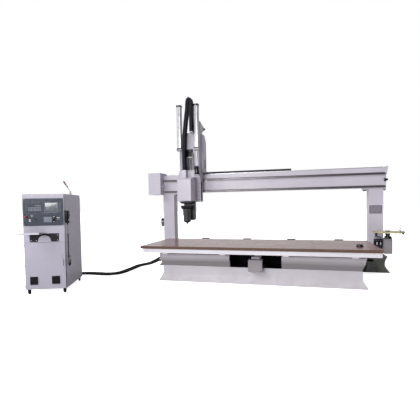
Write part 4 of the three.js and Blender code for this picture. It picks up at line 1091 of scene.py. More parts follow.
def z_rails():
    """The two upright rails on the saddle and tower."""
    face, aside = -348.4, 108
    for side, hand in ((-1, "left"), (1, "right")):
        shape = guide_rail(f"z_rail_{hand}", "carriage", "z", HEAD_X + side * aside, ("y", face - 8.6, -1),
                           1610, 2695, "rail", squat=0.3)


def saddle_fixings():
    """Screws on the saddle's front, the wipers of its bearing blocks and a screwed dark sheet on its cheek,
    painted as shade.
    """
    shape = Shape("saddle_fixings", "carriage", ["dark_steel", "zinc", "void", "rubber"])
    left, right, front, low = -1980, -1440, -322, 1560
    for sx in (left + 26, right - 26):
        for i in range(7):
            shape.screw("y", (sx, low + 50 + i * 95), front, -6, 8, 0)
    for rail_z in (1810, 2078):
        for wiper_x in ((left + 21, left + 30), (right - 30, right - 21)):
            for wiper_z in ((rail_z - 38, rail_z - 19), (rail_z + 19, rail_z + 38)):
                shape.box(wiper_x, (-152, -115), wiper_z, 3, 2)
        for sx in (left + 60, left + 120, right - 120, right - 60):
            for lift in (26, -26):
                shape.screw("y", (sx, rail_z + lift), front, -5, 7, 1)
    # a dark sheet on the saddle's right cheek, held by screws: painted shade
    cover = 1.2
    shape.box((right - 0.5, right + cover), (front + 32, front + 96), (low + 30, low + 470), 2, 14)
    for i in range(5):
        shape.screw("x", (front + 64, low + 70 + i * 96), right + cover, 4, 7, 1)
    shape.done(bevel=0.7, slot="dark_steel")


def cylinders():
    """The two counterbalance cylinders: grooved extrusions between a foot block and a black cap."""
    for hand in ("left", "right"):
        x, y, z = box_mm(f"z_cylinder_{hand}")
        cx, cy = mid(x), mid(y)
        half, corner = 54.0, 20.0
        ring = []
        for k, (sx, sy) in enumerate(((1, 1), (-1, 1), (-1, -1), (1, -1))):
            middle = (cx + sx * (half - corner), cy + sy * (half - corner))
            ring += arc(middle, corner, TAU * k / 4, TAU * (k + 1) / 4, 5)
        grooved = []
        slots = ((0.38, 0), (0.40, 3), (0.47, 3), (0.49, 0), (0.53, 0), (0.55, 3), (0.60, 3), (0.62, 0))
        for i, (a, b) in enumerate(ring):
            grooved.append((a, b))
            if i % 6 == 5:
                a2, b2 = ring[(i + 1) % len(ring)]
                dx, dy = a2 - a, b2 - b
                long = math.hypot(dx, dy)
                nx, ny = dy / long, -dx / long
                for share, sink in slots:
                    grooved.append((a + dx * share - nx * sink, b + dy * share - ny * sink))
        shape = Shape(f"balance_cylinder_{hand}", "carriage",
                      ["alu", "gloss_black", "zinc", "black"])
        shape.prism("z", grooved, (z[0] + 24, z[1] - 38), 0)
        shape.box((cx - 60, cx + 60), (cy - 60, cy + 60), (z[0], z[0] + 14), 1, 4)
        shape.box((cx - 57, cx + 57), (cy - 57, cy + 57), (z[0] + 14, z[0] + 32), 1, 8)
        shape.prism("z", [(cx + u * 58, cy + v * 58) for u, v in (
            (-0.72, -1), (0.72, -1), (1, -0.72), (1, 0.72), (0.72, 1), (-0.72, 1), (-1, 0.72), (-1, -0.72))],
            (z[1] - 42, z[1] - 3), 1)
        for sx in (-42, 42):
            for sy in (-42, 42):
                shape.screw("z", (cx + sx, cy + sy), z[1] - 3, 3, 7, 2)
                shape.turn("z", (cx + sx, cy + sy), [(8, z[0]), (8, z[0] - 10), (4, z[0] - 11)], 6, 2)
        shape.turn("z", (cx, cy), [(24, z[0] + 1), (24, z[0] - 0.2)], 20, 2)
        shape.turn("y", (cx, z[1] - 22), [(11, cy - 57), (11, cy - 60)], 12, 2)
        shape.turn("y", (cx, z[0] + 22), [(10, cy - 56), (10, cy - 62)], 12, 3)
        shape.done(bevel=0.8, replaces=f"z_cylinder_{hand}", slot="barrel_aluminium")


def z_servo():
    """The Z servo in its bay: flange, ribbed body, encoder cap and plug."""
    _, y, z = box_mm("z_motor")
    cx, cy = HEAD_X, mid(y)
    shape = Shape("z_servo", "carriage", ["gloss_black", "zinc", "dark_steel", "black"])

    def block(half, low, top, look, chamfer):
        shape.box((cx - half, cx + half), (cy - half, cy + half), (low, top), look, chamfer)

    shape.box((cx - 80, cx + 80), y, (z[0] + 1, z[0] + 18), 1, 6)
    block(66, z[0] + 18, z[1] - 42, 0, 14)
    for i in range(5):
        low = z[0] + 34 + i * 17
        block(68, low, low + 8, 0, 15)
    block(60, z[1] - 42, z[1] - 0.5, 2, 10)
    shape.box((cx - 24, cx + 24), (y[0] - 6, y[0] + 24), (z[1] - 76, z[1] - 42), 3, 5)
    shape.turn("z", (cx, -250), [(17.5, z[0] - 0.5), (17.5, z[0] - 4)], 20, 2)
    shape.done(bevel=1.0, replaces="z_motor", slot="black_housing")


def servo_cover_fixings():
    """Screws and slits of the Z servo's cover."""
    x, _, z = box_mm("z_motor_cover")
    face = -345
    trim = Shape("servo_cover_fixings", "carriage", ["dark_steel", "void", "black"])
    for sz in (z[0] + 24, z[1] - 30):
        for sx in (x[0] + 12, x[1] - 12):
            trim.screw("y", (sx, sz), face, -3, 5, 0)
    for i in range(6):
        slit = z[0] + 70 + i * 16
        trim.box((x[0] - 0.8, x[0] + 1), (face + 7, face + 43), (slit, slit + 5), 1, 1)
    trim.done(bevel=0.4, slot="dark_steel")


def upright_chain():
    """The upright cable chain. Its left run belongs to no body and stays where it is drawn; the loop and
    right run ride on the carriage.
    """
    bend, centre_x, centre_z = 38.0, HEAD_X + 70.0, 3872.0
    foot_x = HEAD_X - 77
    _, y, _ = box_mm("z_drag_chain")
    middle_y = mid(y)
    route = [(foot_x, 2291.5), (foot_x, 2650), (foot_x + 15, 3050), (foot_x + 54, 3410), (foot_x + 89, 3655)]
    for turn in (180, 135, 90, 45, 0):
        t = math.radians(turn)
        route.append((centre_x + bend * math.cos(t), centre_z + bend * math.sin(t)))
    route += [(centre_x + bend, 3600), (centre_x + bend, 3158.5)]
    fine, _ = evenly(catmull([(a, middle_y, b) for a, b in route], 1200), 2.0)
    split = next(i for i, p in enumerate(fine) if p.z > 3700)
    wide, thick, pitch = y[1] - y[0] - 1.5, 60.5, 42.0
    depth = Vector((0, 1, 0))

    def part(name, line, cable_step):
        shape = Shape(name, "carriage", ["chain", "dark_steel", "rubber", "zinc"])
        chain_links(shape, line, wide, thick, pitch, depth)
        spaced, _ = evenly(line, cable_step)
        cable_bundle(shape, spaced, depth, [(-46, 0), (-16, 5), (16, -5), (46, 0)], 9, 2)
        return shape

    run = part("upright_chain_run", fine[:split + 1], 60)
    loop = part("upright_chain_loop", fine[split:], 30)
    stretch = run.done(bevel=0.7, replaces="z_drag_chain", slot="chain_plastic")
    stretch.parent = None
    del stretch["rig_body"]
    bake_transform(stretch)
    loop.done(bevel=0.7, slot="chain_plastic")


def ram_fixings():
    """Fixings of the ram and its sheet cover, the swing servo's shelf and the bracket of the chain's foot."""
    x, y, z = box_mm("head_cover")
    shape = Shape("ram_fixings", "ram", ["dark_steel", "zinc", "void", "gloss_black", "cover", "black"])
    for sx, sign in zip(x, (-1, 1)):
        for sz in (z[0] + 40, mid(z), 2020):
            for sy in (y[1] - 22, y[0] + 30):
                shape.screw("x", (sy, sz), sx, sign * 3.0, 5.5, 1)
    shape.box((x[0] + 2, x[1] - 2), (y[0] - 0.5, y[0] + 0.8), (z[0] + 8, z[0] + 10), 2)
    plate_front, plate_top = -400.0, 2290.0
    for sx in (HEAD_X - 140, HEAD_X + 140):
        for i in range(3):
            shape.screw("y", (sx, plate_top - 24 - i * 60), plate_front, -5, 8, 0)
    servo_x, servo_y = SWING_SERVO
    shelf = (HEAD_X + 130, servo_x + 54)
    shape.box(shelf, (servo_y - 54, -402), (SWING_SERVO_LOW - 12, SWING_SERVO_LOW), 4, 3)
    shape.box(shelf, (-410, -401), (SWING_SERVO_LOW - 60, SWING_SERVO_LOW - 10), 4, 2)
    foot, foot_front = (HEAD_X - 124, HEAD_X - 30), -506
    shape.box((foot[0] - 6, foot[1] + 6), (foot_front, -401), (2112, 2290.5), 4, 4)
    for a in (foot[0] + 4, foot[1] - 4):
        shape.screw("y", (a, 2150), foot_front, -4, 6, 1)
    shape.done(bevel=0.8, slot="paint")


SWING_SERVO, SWING_SERVO_LOW = (HEAD_X + 225, -446.0), 2176.0


def swing_servo():
    """The servo that swings the spindle, upright on the ram's right shoulder."""
    (ax, ay), low = SWING_SERVO, SWING_SERVO_LOW
    servo = Shape("swing_servo", "ram", ["gloss_black", "zinc", "black", "dark_steel"])
    body = ((46, 18), (52, 24), (52, 106), (48, 110), (48, 128), (52, 132), (52, 186), (44, 198), (10, 200))
    servo.turn("z", (ax, ay), [(r, low + h) for r, h in body], 30, 0)
    servo.box((ax - 54, ax + 54), (ay - 54, ay + 40), (low, low + 19), 2, 8)
    servo.box((ax - 18, ax + 18), (ay - 64, ay - 36), (low + 140, low + 176), 2, 5)
    for a in (-42, 42):
        servo.screw("z", (ax + a, ay - 42), low + 19, 6, 5, 3)
    servo.done(bevel=1.2, slot="black_housing")


SWING_Y, SWING_Z = -524.0, 1330


def swing_spindle():
    """The swing spindle: a finned black body with ground bands, its collar and the arm behind it."""
    low, top = box_mm("spindle_housing")[2]
    cx, cy, r = HEAD_X, SWING_Y, 86.0
    shape = Shape("swing_spindle", "spindle", ["spindle", "chrome", "zinc", "black", "dark_steel"])

    def band(profile, look, sides=44):
        shape.turn("z", (cx, cy), profile, sides, look)

    band([(42, low + 1), (60, low), (75, low + 15), (83, low + 30), (r, low + 44), (r, low + 70)], 0)
    collar, collar_front, back = 105.5, -629.5, -441
    levels = ((1396, r - 1, cy - r + 1), (1431, collar, collar_front), (1474.5, collar, collar_front))
    shape.loft([[(cx - half, front, h), (cx + half, front, h), (cx + half, back, h), (cx - half, back, h)]
                for h, half, front in levels], 3)
    for a in (cx - 92, cx + 92):
        shape.screw("y", (a, 1453), collar_front, -4, 6, 4)
    band([(r - 3, low + 69), (r - 3, low + 80)], 4)
    band([(r, low + 79), (r, low + 110)], 0)
    fins = []
    for i in range(12):
        at = low + 110 + i * 13
        fins += [(r, at), (r, at + 8), (r - 4.5, at + 8.5), (r - 4.5, at + 12.5)]
    band(fins + [(r, low + 268), (r, top - 30)], 0)
    band([(r - 4, top - 31), (r - 4, top - 24)], 4)
    band([(r - 2, top - 25), (r - 6, top - 10), (r - 16, top), (6, top)], 0)
    shape.box((cx - 77, cx + 77), (cy + 22, -436), (1212, 1448), 0, 18)
    shape.box((cx - 90, cx - 68), (cy - 30, cy + 40), (1254, 1400), 3, 8)
    shape.turn("y", (cx, SWING_Z), [(70, -458), (73, -450), (73, -434.6)], 36, 4)
    shape.screw_ring("z", (cx, cy), 64, 6, low + 8, -4, 6, 2)
    shape.turn("z", (cx + 30, cy - 34), [(9, top - 2), (9, top - 0.1)], 12, 2)
    shape.box((cx - 12, cx + 34), (cy - r - 1.5, cy - r + 22), (1176, 1384), 4, 3)
    shape.done(bevel=0.9, replaces="spindle_housing", slot="black_housing")


def spindle_nose():
    """The collet nut with its slots, and the shaft above it."""
    low, top = box_mm("spindle_shaft")[2]
    at = (HEAD_X, SWING_Y)
    nose = Shape("spindle_nose_and_shaft", "shaft", ["steel_z", "dark_steel", "chrome"])
    nut = ((3, 7), (11, 6), (13, 0), (17, 0), (24, 10), (25.5, 12), (27, 22), (31, 28), (31, 51))
    nose.turn("z", at, [(r, low + h) for r, h in nut], 32, 0)
    for t in turns(6):
        x, y = on_circle(at, 24, t)
        nose.box((x - 2.6, x + 2.6), (y - 2.6, y + 2.6), (low + 13, low + 22), 1)
    nose.turn("z", at, [(30, low + 50), (35.5, low + 52), (35.5, low + 72), (35.5, top)], 32, 2)
    nose.done(bevel=0.5, replaces="spindle_shaft", slot="screw_steel")


def swing_bearing():
    """The bearing ring on the ram's neck, with ribs over it and screws at its side."""
    front, at = -420.0, (HEAD_X, SWING_Z)
    neck = Shape("swing_bearing", "ram", ["gloss_black", "dark_steel", "zinc", "rubber"])
    neck.turn("y", at, [(97, front + 2), (97, front - 3), (94, front - 5), (76, front - 5)], 40, 1)
    neck.screw_ring("y", at, 86, 8, front - 5, -3, 6, 2, offset=0.5)
    for i in range(5):
        neck.box((HEAD_X - 113.5, HEAD_X + 166.5), (front + 4, -376), (1396 + i * 22, 1404 + i * 22), 0, 3)
    for h in (1180, 1300, 1500):
        neck.screw("x", (-396, h), HEAD_X + 165, 3, 7, 1)
    neck.done(bevel=0.9, slot="black_housing")


def x_servo():
    """The carriage's upright servo: flange, ribbed body and shaft."""
    low, at = box_mm("x_motor")[2][0], (HEAD_X, 31.0)
    flange, half = 2262, 60
    shape = Shape("x_servo", "carriage", ["gloss_black", "zinc", "dark_steel"])
    shape.box((at[0] - half, at[0] + half), (at[1] - half, at[1] + half), (flange, flange + 12), 1, 10)
    body = ((55, 12), (55, 48), (50, 50), (50, 130), (54, 132), (54, 200), (46, 207))
    shape.turn("z", at, [(r, flange + h) for r, h in body], 30, 0)
    shape.turn("z", at, [(12, low), (12, flange + 2)], 16, 2)
    shape.done(bevel=1.0, replaces="x_motor", slot="black_housing")


def tower_fixings():
    """Louvres and screws of the tower's housing, and the gland and fixings of its hose hood."""
    left, right, back, low, top = -1975, -1425, 118, 2247, 3147
    shape = Shape("tower_fixings", "carriage", ["dark_steel", "void", "gloss_black", "cover", "zinc"])
    for side_x, sign in ((left, -1), (right, 1)):
        for sz in (low + 40, low + 370, top - 190):
            for sy in (-132, back - 18):
                shape.screw("x", (sy, sz), side_x, sign * 3, 5.5, 4)
        for i in range(12):
            slit = low + 120 + i * 17
            shape.box(sorted((side_x, side_x + sign * 1.2)), (-70, 60), (slit, slit + 6), 1, 1)
    for sx in (left + 60, HEAD_X, right - 60):
        for sz in (low + 60, top - 190):
            shape.screw("y", (sx, sz), back, 3, 5.5, 4)
    for i in range(18):
        slit = low + 260 + i * 19
        shape.box((left + 150, right - 150), (back - 0.6, back + 1.4), (slit, slit + 7), 1, 1)
    duct = right - 40
    shape.turn("y", (duct - 55, top + 174), [(30, back - 4), (30, back + 6), (24, back + 8), (24, back + 22),
                                             (17, back + 24)], 20, 2)
    gland = [(27, duct - 1), (27, duct + 14), (20, duct + 16), (20, duct + 30)]
    shape.turn("x", (back - 26, top + 172), gland, 20, 2)
    for sy, sz in ((-130, top + 20), (-130, top + 225), (back - 22, top + 190), (-50, top + 90)):
        shape.screw("x", (sy, sz), duct, 3, 6, 4)
    for sz in (top + 40, top + 130, top + 220):
        shape.box((right - 196, duct - 4), (-211.2, -209), (sz, sz + 3), 1)
    # black stays between the cylinder shelves and the tower
    for side in (-1, 1):
        cx = HEAD_X + side * 208
        shape.box((cx - 64, cx + 64), (-419, -322), (2748, 2757), 2, 3)
    shape.done(bevel=0.6, slot="dark_steel")


z_rails()
saddle_fixings()
cylinders()
z_servo()
servo_cover_fixings()
upright_chain()
ram_fixings()
swing_servo()
swing_spindle()
spindle_nose()
swing_bearing()
x_servo()
tower_fixings()


# ------------------------------------------------------------------ tool disc

def tool_disc():
    """The magazine disc with its eight open seats, the clips beside them and the hub."""
    x, y, z = box_mm("magazine_disc")
    centre = (mid(x), mid(y))
    low, top = z[0], z[0] + 22
    radius, seats, seat_r, slot_half = 310.0, 8, 270.0, 22.0
    half = math.asin(slot_half / radius)
    ring = []
    for before, middle, after in zip(turns(seats), turns(seats, 0.5), turns(seats, 1)):
        ring += arc(centre, radius, before, middle - half, 6)
        slot_end = on_circle(centre, seat_r, middle)
        ring += arc(slot_end, slot_half, middle - math.pi / 2, middle - 1.5 * math.pi, 8)
        ring += arc(centre, radius, middle + half, after, 6)[1:-1]
    shape = Shape("tool_disc", "magazine", ["yellow", "dark_steel", "zinc", "black"])
    shape.prism("z", ring, (low + 5, top - 5), 0)
    shape.turn("z", centre, [(237, low + 1), (241, low + 5)], 64, 0)
    shape.turn("z", centre, [(241, top - 5), (237, top)], 64, 0)
    for middle in turns(seats, 0.5):
        for side in (-1, 1):
            inner = on_circle(centre, 247, middle + side * 0.125)
            shape.turn("z", inner, [(12, top - 6), (12, top - 1), (8, top - 0.4)], 12, 1)
            tip = on_circle(centre, 292, middle + side * 0.103)
            shape.turn("z", tip, [(7, low + 4), (7, low + 0.5)], 10, 2)
            shape.turn("z", tip, [(7, top - 6), (7, top - 2), (3, top - 1)], 10, 2)
    hub = [(46, top - 2), (46, top + 12), (40, top + 18), (14, top + 18), (12, top + 15), (2, top + 15)]
    shape.turn("z", centre, hub, 32, 1)
    shape.screw_ring("z", centre, 34, 6, top + 16, 1.9, 5, 2)
    shape.done(bevel=0.6, replaces="magazine_disc", slot="magazine_yellow")


def taper_holders():
    """The two tool holders in the disc: cutter, collet nut, grooved flange, taper and pull stud."""
    for node in ("tool_holder_front", "tool_holder_rear"):
        x, y, (low, top) = box_mm(node)
        at, middle = (mid(x), mid(y)), low + 78
        holder = Shape(node.replace("tool_holder", "taper_holder"), "magazine",
                       ["dark_steel", "chrome", "zinc", "steel_z"])
        cutter = ((1, 0), (4.4, 3), (4.4, 14), (3.2, 16), (4.4, 19), (3.2, 22), (4.4, 25))
        holder.turn("z", at, [(r, low + h) for r, h in cutter] + [(4.8, middle - 40)], 12, 3)
        nut = ((6, -41), (15, -40), (19, -37), (21, -20), (22, -14))
        holder.turn("z", at, [(r, middle + h) for r, h in nut], 24, 0)
        for t in turns(6):
            a, b = on_circle(at, 18, t)
            holder.box((a - 2, a + 2), (b - 2, b + 2), (middle - 36, middle - 26), 2)
        flange = ((29, -14), (30, -13.4), (30, -11.6), (21.2, -11.4), (21.2, 11.4), (30, 11.8), (30, 16.4),
                  (27, 18))
        holder.turn("z", at, [(r, middle + h) for r, h in flange], 28, 0)
        holder.turn("z", at, [(20, middle + 17), (20, middle + 20), (11, middle + 71)], 28, 1)
        stud = ((7, 70), (6.8, 82), (4.6, 84), (4.6, 89), (6.8, 91))
        holder.turn("z", at, [(r, middle + h) for r, h in stud] + [(5.2, top - 0.4)], 20, 2)
        holder.done(bevel=0.3, replaces=node, slot="dark_steel")


def disc_drive():
    """The motor and gear case under the disc, on top of the magazine's post."""
    x, y, _ = box_mm("magazine_disc")
    cx, cy = mid(x), mid(y)
    post = Shape("disc_drive", "root", ["gloss_black", "dark_steel", "zinc", "black"])
    post.turn("z", (cx, cy), [(56, 755.3), (60, 758), (60, 800), (56, 806), (40, 808)], 32, 0)
    post.box((cx - 66, cx + 66), (cy - 66, cy + 66), (755, 764), 1, 8)
    post.turn("z", (cx, cy), [(39, 807), (39, 830), (44, 832), (44, 862), (39, 866), (39, 877)], 32, 1)
    for a in (-56, 56):
        for b in (-56, 56):
            post.screw("z", (cx + a, cy + b), 764, 6, 6, 2)
    post.box((cx + 30, cx + 58), (cy - 74, cy - 40), (770, 798), 3, 4)
    for a in (-50, 50):
        for h in (492, 715):
            post.screw("y", (cx + a, h), cy - 70, -4, 7, 2)
    post.done(bevel=0.8, slot="black_housing")


tool_disc()
taper_holders()
disc_drive()


# ------------------------------------------------------------------ control cabinet

def cab(name, body, looks):
    """A Shape drawn in the control cabinet's own frame."""
    return Shape(name, body, looks, CABINET)


def panel_keys(shape, x, z, columns, rows, look, gap=0.28, out=2.2, face=-8.0):
    """A block of raised keys: columns by rows over the spans x and z."""
    wide, tall = (x[1] - x[0]) / columns, (z[1] - z[0]) / rows
    for i in range(columns):
        for j in range(rows):
            left, low = x[0] + i * wide, z[0] + j * tall
            shape.box((left + wide * gap / 2, left + wide * (1 - gap / 2)), (face - out, face + 0.5),
                      (low + tall * gap / 2, low + tall * (1 - gap / 2)), look, 1.6)


def operator_panel():
    """The membrane panel: a printed frame, a recessed screen, key rows, a keypad and its buttons' collars."""
    looks = ["panel", "panel_line", "screen", "key", "key_dark", "black", "white", "zinc", "amber"]
    shape = cab("operator_panel", "root", looks)
    face = -8.0
    left, right, low, top = 10.0, 650.0, 1180.0, 1645.0
    shape.box((left, right), (face, -0.3), (low, top), 0, 6)
    for x, z in (((left + 8, right - 8), (top - 10, top - 8)), ((left + 8, right - 8), (low + 8, low + 10)),
                 ((left + 8, left + 10), (low + 8, top - 8)), ((right - 10, right - 8), (low + 8, top - 8)),
                 ((322, 324), (low + 18, top - 18)), ((left + 16, 314), (1392, 1394)),
                 ((332, right - 16), (1372, 1374))):
        shape.box(x, (face - 0.5, face + 0.5), z, 1)
    # screen: a raised bezel with a sunk glass
    sx, sz = (362, 566), (1409, 1566)
    rim = (sx[0] - 12, sx[1] + 12)
    for x, z in ((rim, (sz[1], sz[1] + 12)), (rim, (sz[0] - 12, sz[0])), ((rim[0], sx[0]), sz),
                 ((sx[1], rim[1]), sz)):
        shape.box(x, (face - 5, face), z, 1)
    shape.box(sx, (face - 1.2, face + 0.4), sz, 2)
    for i in range(7):
        shape.box((588, 616), (face - 2.4, face), (1416 + i * 21, 1430 + i * 21), 4, 2)
    # key rows
    panel_keys(shape, (92, 294), (1431, 1500), 9, 3, 3, gap=0.36)
    panel_keys(shape, (205, 294), (1508, 1534), 4, 1, 3, gap=0.36)
    panel_keys(shape, (40, 84), (1440, 1530), 2, 4, 4, gap=0.36)
    panel_keys(shape, (150, 205), (1576, 1592), 2, 1, 4, gap=0.2)
    # keypad of light caps
    shape.box((334, 467), (face - 1.4, face), (1236, 1332), 1, 2)
    panel_keys(shape, (338, 463), (1240, 1328), 8, 5, 3, gap=0.2, out=3.2)
    # dial field with its printed scale
    shape.box((467, 528), (face - 1.8, face), (1238, 1342), 5, 2)
    for a, b in arc((497, 1290), 26.5, math.radians(225), math.radians(-45), 10):
        shape.box((a - 1.5, a + 1.5), (face - 2.4, face - 1), (b - 1.5, b + 1.5), 6)
    shape.box((486, 508), (face - 2.3, face - 1), (1244, 1250), 6)
    shape.box((480, 514), (face - 2.3, face - 1), (1330, 1336), 6)
    for x in (550, 576):
        shape.turn("y", (x + 6, 1288), [(9, face), (9, face - 4), (7, face - 6)], 16, 3)
        shape.box((x - 3, x + 15), (face - 1.0, face), (1306, 1318), 6)
    # collars of the push buttons
    for (x, z), r in (((53, 1334), 26), ((148, 1349), 17), ((114, 1282), 17)):
        shape.turn("y", (x, z), [(r, face), (r, face - 2.6), (r - 3, face - 3.6), (r - 5, face - 3.6),
                                 (r - 5, face)], 28, 7 if r < 20 else 8)
    shape.turn("y", (114, 1282), [(11, face), (11, face - 9), (9, face - 10.5)], 20, 6)
    shape.box((96, 132), (face - 1, face), (1252, 1260), 6)
    shape.turn("y", (212, 1290), [(11, face), (11, face - 3)], 20, 5)
    shape.box((209, 215), (face - 12, face - 3), (1281, 1299), 5)
    for x in (left + 14, right - 14):
        for z in (low + 14, top - 14):
            shape.turn("y", (x, z), [(4.4, face), (4.2, face - 1.5), (2, face - 2.2)], 12, 7)
    shape.done(bevel=0.4, replaces="control_panel", slot="panel_navy")


def panel_controls():
    """The emergency stop, the start button and the override dial, each on its own body."""
    stop = cab("emergency_mushroom", "stop_button", ["red", "dark_steel"])
    at = (53, 1334)
    stop.turn("y", at, [(12, -7.2), (12, -27)], 20, 1)
    stop.turn("y", at, [(13, -27), (19, -28.2), (21, -31), (21, -42), (18, -47.5), (11, -50.5), (2, -51.5)],
              32, 0)
    stop.done(bevel=0.4, replaces="e_stop", slot="red_plastic")
    start = cab("start_cap", "start", ["green", "zinc"])
    start.turn("y", (148, 1349), [(11.6, -4.2), (11.6, -15), (9.5, -17), (8.5, -16.4), (1, -16.2)], 24, 0)
    start.done(bevel=0.3, replaces="start_button", slot="green_plastic")
    x, z = 497, 1290
    knob = cab("override_dial", "override", ["black", "white"])
    knob.loft([knurled("y", (x, z), r, y, 40, 1.0 if y < -13 else 0)
               for r, y in ((19.5, -8.4), (19.5, -12), (16, -14), (15, -28), (12.5, -30))])
    knob.box((x - 0.9, x + 0.9), (-30.4, -26), (z + 3, z + 14), 1)
    knob.done(bevel=0.2, replaces="override_knob", slot="black_plastic")


def bracket_plate():
    """The black keyboard bracket under the panel: two rounded lobes joined by an arch."""
    left, right, low, top = 95.0, 567.0, 905.0, 1046.0
    quarter, lobe = math.pi / 2, math.radians(62)
    outline = [(left, top), (left, low + 26)]
    outline += arc((left + 26, low + 26), 26, 2 * quarter, 3 * quarter, 6)
    outline += arc((206, low + 24), 24, -quarter, lobe - quarter, 6)
    outline += arc((332, 938), 100, 0.93 * math.pi, 0.07 * math.pi, 12, flat=0.76)
    outline += arc((458, low + 24), 24, -quarter - lobe, -quarter, 6)
    outline += arc((right - 26, low + 26), 26, -quarter, 0, 6)
    outline += [(right, low + 27), (right, top)]
    shape = cab("keyboard_bracket", "root", ["black", "white", "dark_steel"])
    shape.prism("y", outline, (-2.5, -0.3))
    for x in (left + 24, left + 108):
        shape.turn("y", (x, low + 26), [(6, -2.4), (6, -2.7), (3, -2.8)], 14, 1)
    for z in (low + 26, top - 30):
        shape.turn("y", (right - 24, z), [(6, -2.4), (6, -4), (3, -5)], 14, 1)
    return shape


def cabinet_front():
    """Vent grilles, the door's handle and the black keyboard bracket."""
    shape = cab("door_vents", "door", ["black", "void", "dark_steel", "zinc"])
    for x in ((82, 205), (432, 560)):
        z = (173, 310)
        shape.box((x[0], x[1]), (-9, -0.2), (z[0], z[0] + 10), 0, 2)
        shape.box((x[0], x[1]), (-9, -0.2), (z[1] - 10, z[1]), 0, 2)
        shape.box((x[0], x[0] + 10), (-9, -0.2), (z[0] + 8, z[1] - 8), 0, 2)
        shape.box((x[1] - 10, x[1]), (-9, -0.2), (z[0] + 8, z[1] - 8), 0, 2)
        shape.box((x[0] + 6, x[1] - 6), (-2.4, -0.2), (z[0] + 6, z[1] - 6), 1)
        count = 9
        pitch = (z[1] - z[0] - 20) / count
        for i in range(count):
            low = z[0] + 10 + i * pitch
            shape.prism("x", [(-2, low + pitch * 0.82), (-8.4, low + pitch * 0.2), (-8.4, low + pitch * 0.05),
                              (-2, low + pitch * 0.62)], (x[0] + 9, x[1] - 9), 0)
    shape.done(bevel=0.5, slot="black_plastic")
    bracket = bracket_plate()
    bracket.done(bevel=0.6, slot="black_plastic")
    grip = cab("door_latch", "door", ["zinc", "black", "dark_steel"])
    grip.turn("y", (612, 655), [(11, 0), (11, -4), (8, -6), (3, -6.4)], 20, 0)
    grip.box((611, 613), (-6.8, -6), (648, 662), 2)
    grip.done(bevel=0.3, slot="fork_steel")


def cabinet_side():
    """Hinges, the left side's louvres, roof plugs, the gland plate, the rear outlet and the side lead."""
    shape = cab("cabinet_fixings", "root", ["zinc", "void", "black", "cabinet", "dark_steel"])
    for z in (150, 500, 850):
        shape.turn("z", (-1.5, 4), [(1, z - 26), (4.2, z - 25), (4.2, z + 25), (1, z + 26)], 12, 0)
    for x in (0, CABINET_WIDE):
        sign = -1 if x == 0 else 1
        for i in range(9):
            z = 1380 + i * 21
            if sign < 0:
                shape.box((x - 1.4, x + 0.6), (620, 820), (z, z + 6), 1, 1)
        for y in (30, CABINET_DEEP - 40):
            for z in (940, 1300, 1600):
                shape.screw("x", (y, z), x, sign * 2.2, 5, 0)
    shape.box((CABINET_WIDE - 0.4, CABINET_WIDE + 0.9), (24, 26), (92, 1690), 1)
    # a dark strip low on the right side by the front edge: painted shade of the rounded corner
    shape.box((CABINET_WIDE - 0.4, CABINET_WIDE + 1.3), (14, 30), (100, 600), 4, 3)
    for x in (90, CABINET_WIDE - 90):
        for y in (90, CABINET_DEEP - 150):
            shape.turn("z", (x, y), [(12, CABINET_TOP), (12, CABINET_TOP + 3), (8, CABINET_TOP + 6)], 16, 4)
    back = CABINET_DEEP
    shape.box((140, 360), (back - 0.5, back + 3), (96, 176), 3, 6)
    for x in (150, 350):
        for z in (106, 166):
            shape.screw("y", (x, z), back + 3, 2.4, 4, 0)
    for x in (170, 250):
        shape.turn("y", (x, 130), [(35.5, back + 3), (35.5, back + 12), (32, back + 13), (32, back + 30),
                                   (27.5, back + 33), (25.4, back + 33)], 24, 2)
    z = 1180
    shape.box((420, 610), (back, back + 3), (z, z + 190), 2, 8)
    for i in range(10):
        shape.box((432, 598), (back + 2.5, back + 4), (z + 14 + i * 17, z + 22 + i * 17), 1, 1)
    for i in range(14):
        shape.box((110, 550), (back - 0.5, back + 1.4), (700 + i * 22, 707 + i * 22), 1, 1)
    shape.done(bevel=0.5, slot="paint")
    elbow = cab("lead_elbow", "root", ["black", "zinc"])
    x, y = PENDANT_X - 4, PENDANT_Y + 120
    elbow.box((CABINET_WIDE, CABINET_WIDE + 8), (y - 22, y + 22), (598, 642), 0, 5)
    gland = [(17, CABINET_WIDE + 8), (17, CABINET_WIDE + 20), (13, CABINET_WIDE + 22)]
    elbow.turn("x", (y, 620), gland, 16, 1)
    elbow.pipe(catmull([(CABINET_WIDE + 18, y, 620), (x - 8, y, 621), (x, y, 614), (x, y, 600.5)], 10),
               [11, 11, 11, 10.5, 10, 9.5, 9, 8.2, 7.2, 6, 4.4], 12, 0)
    elbow.done(bevel=0.5, slot="black_plastic")


def shelf_things():
    """The mat on the shelf and the screws of its hinge."""
    shape = cab("shelf_edge", "shelf", ["cover", "zinc", "rubber"])
    shape.box((31, 344), (-252, -30), (1062, 1063.4), 2, 2)
    for x in (60, 315):
        shape.screw("z", (x, -20), 1062, 2.2, 5, 1)
    shape.done(bevel=0.4, slot="paint")


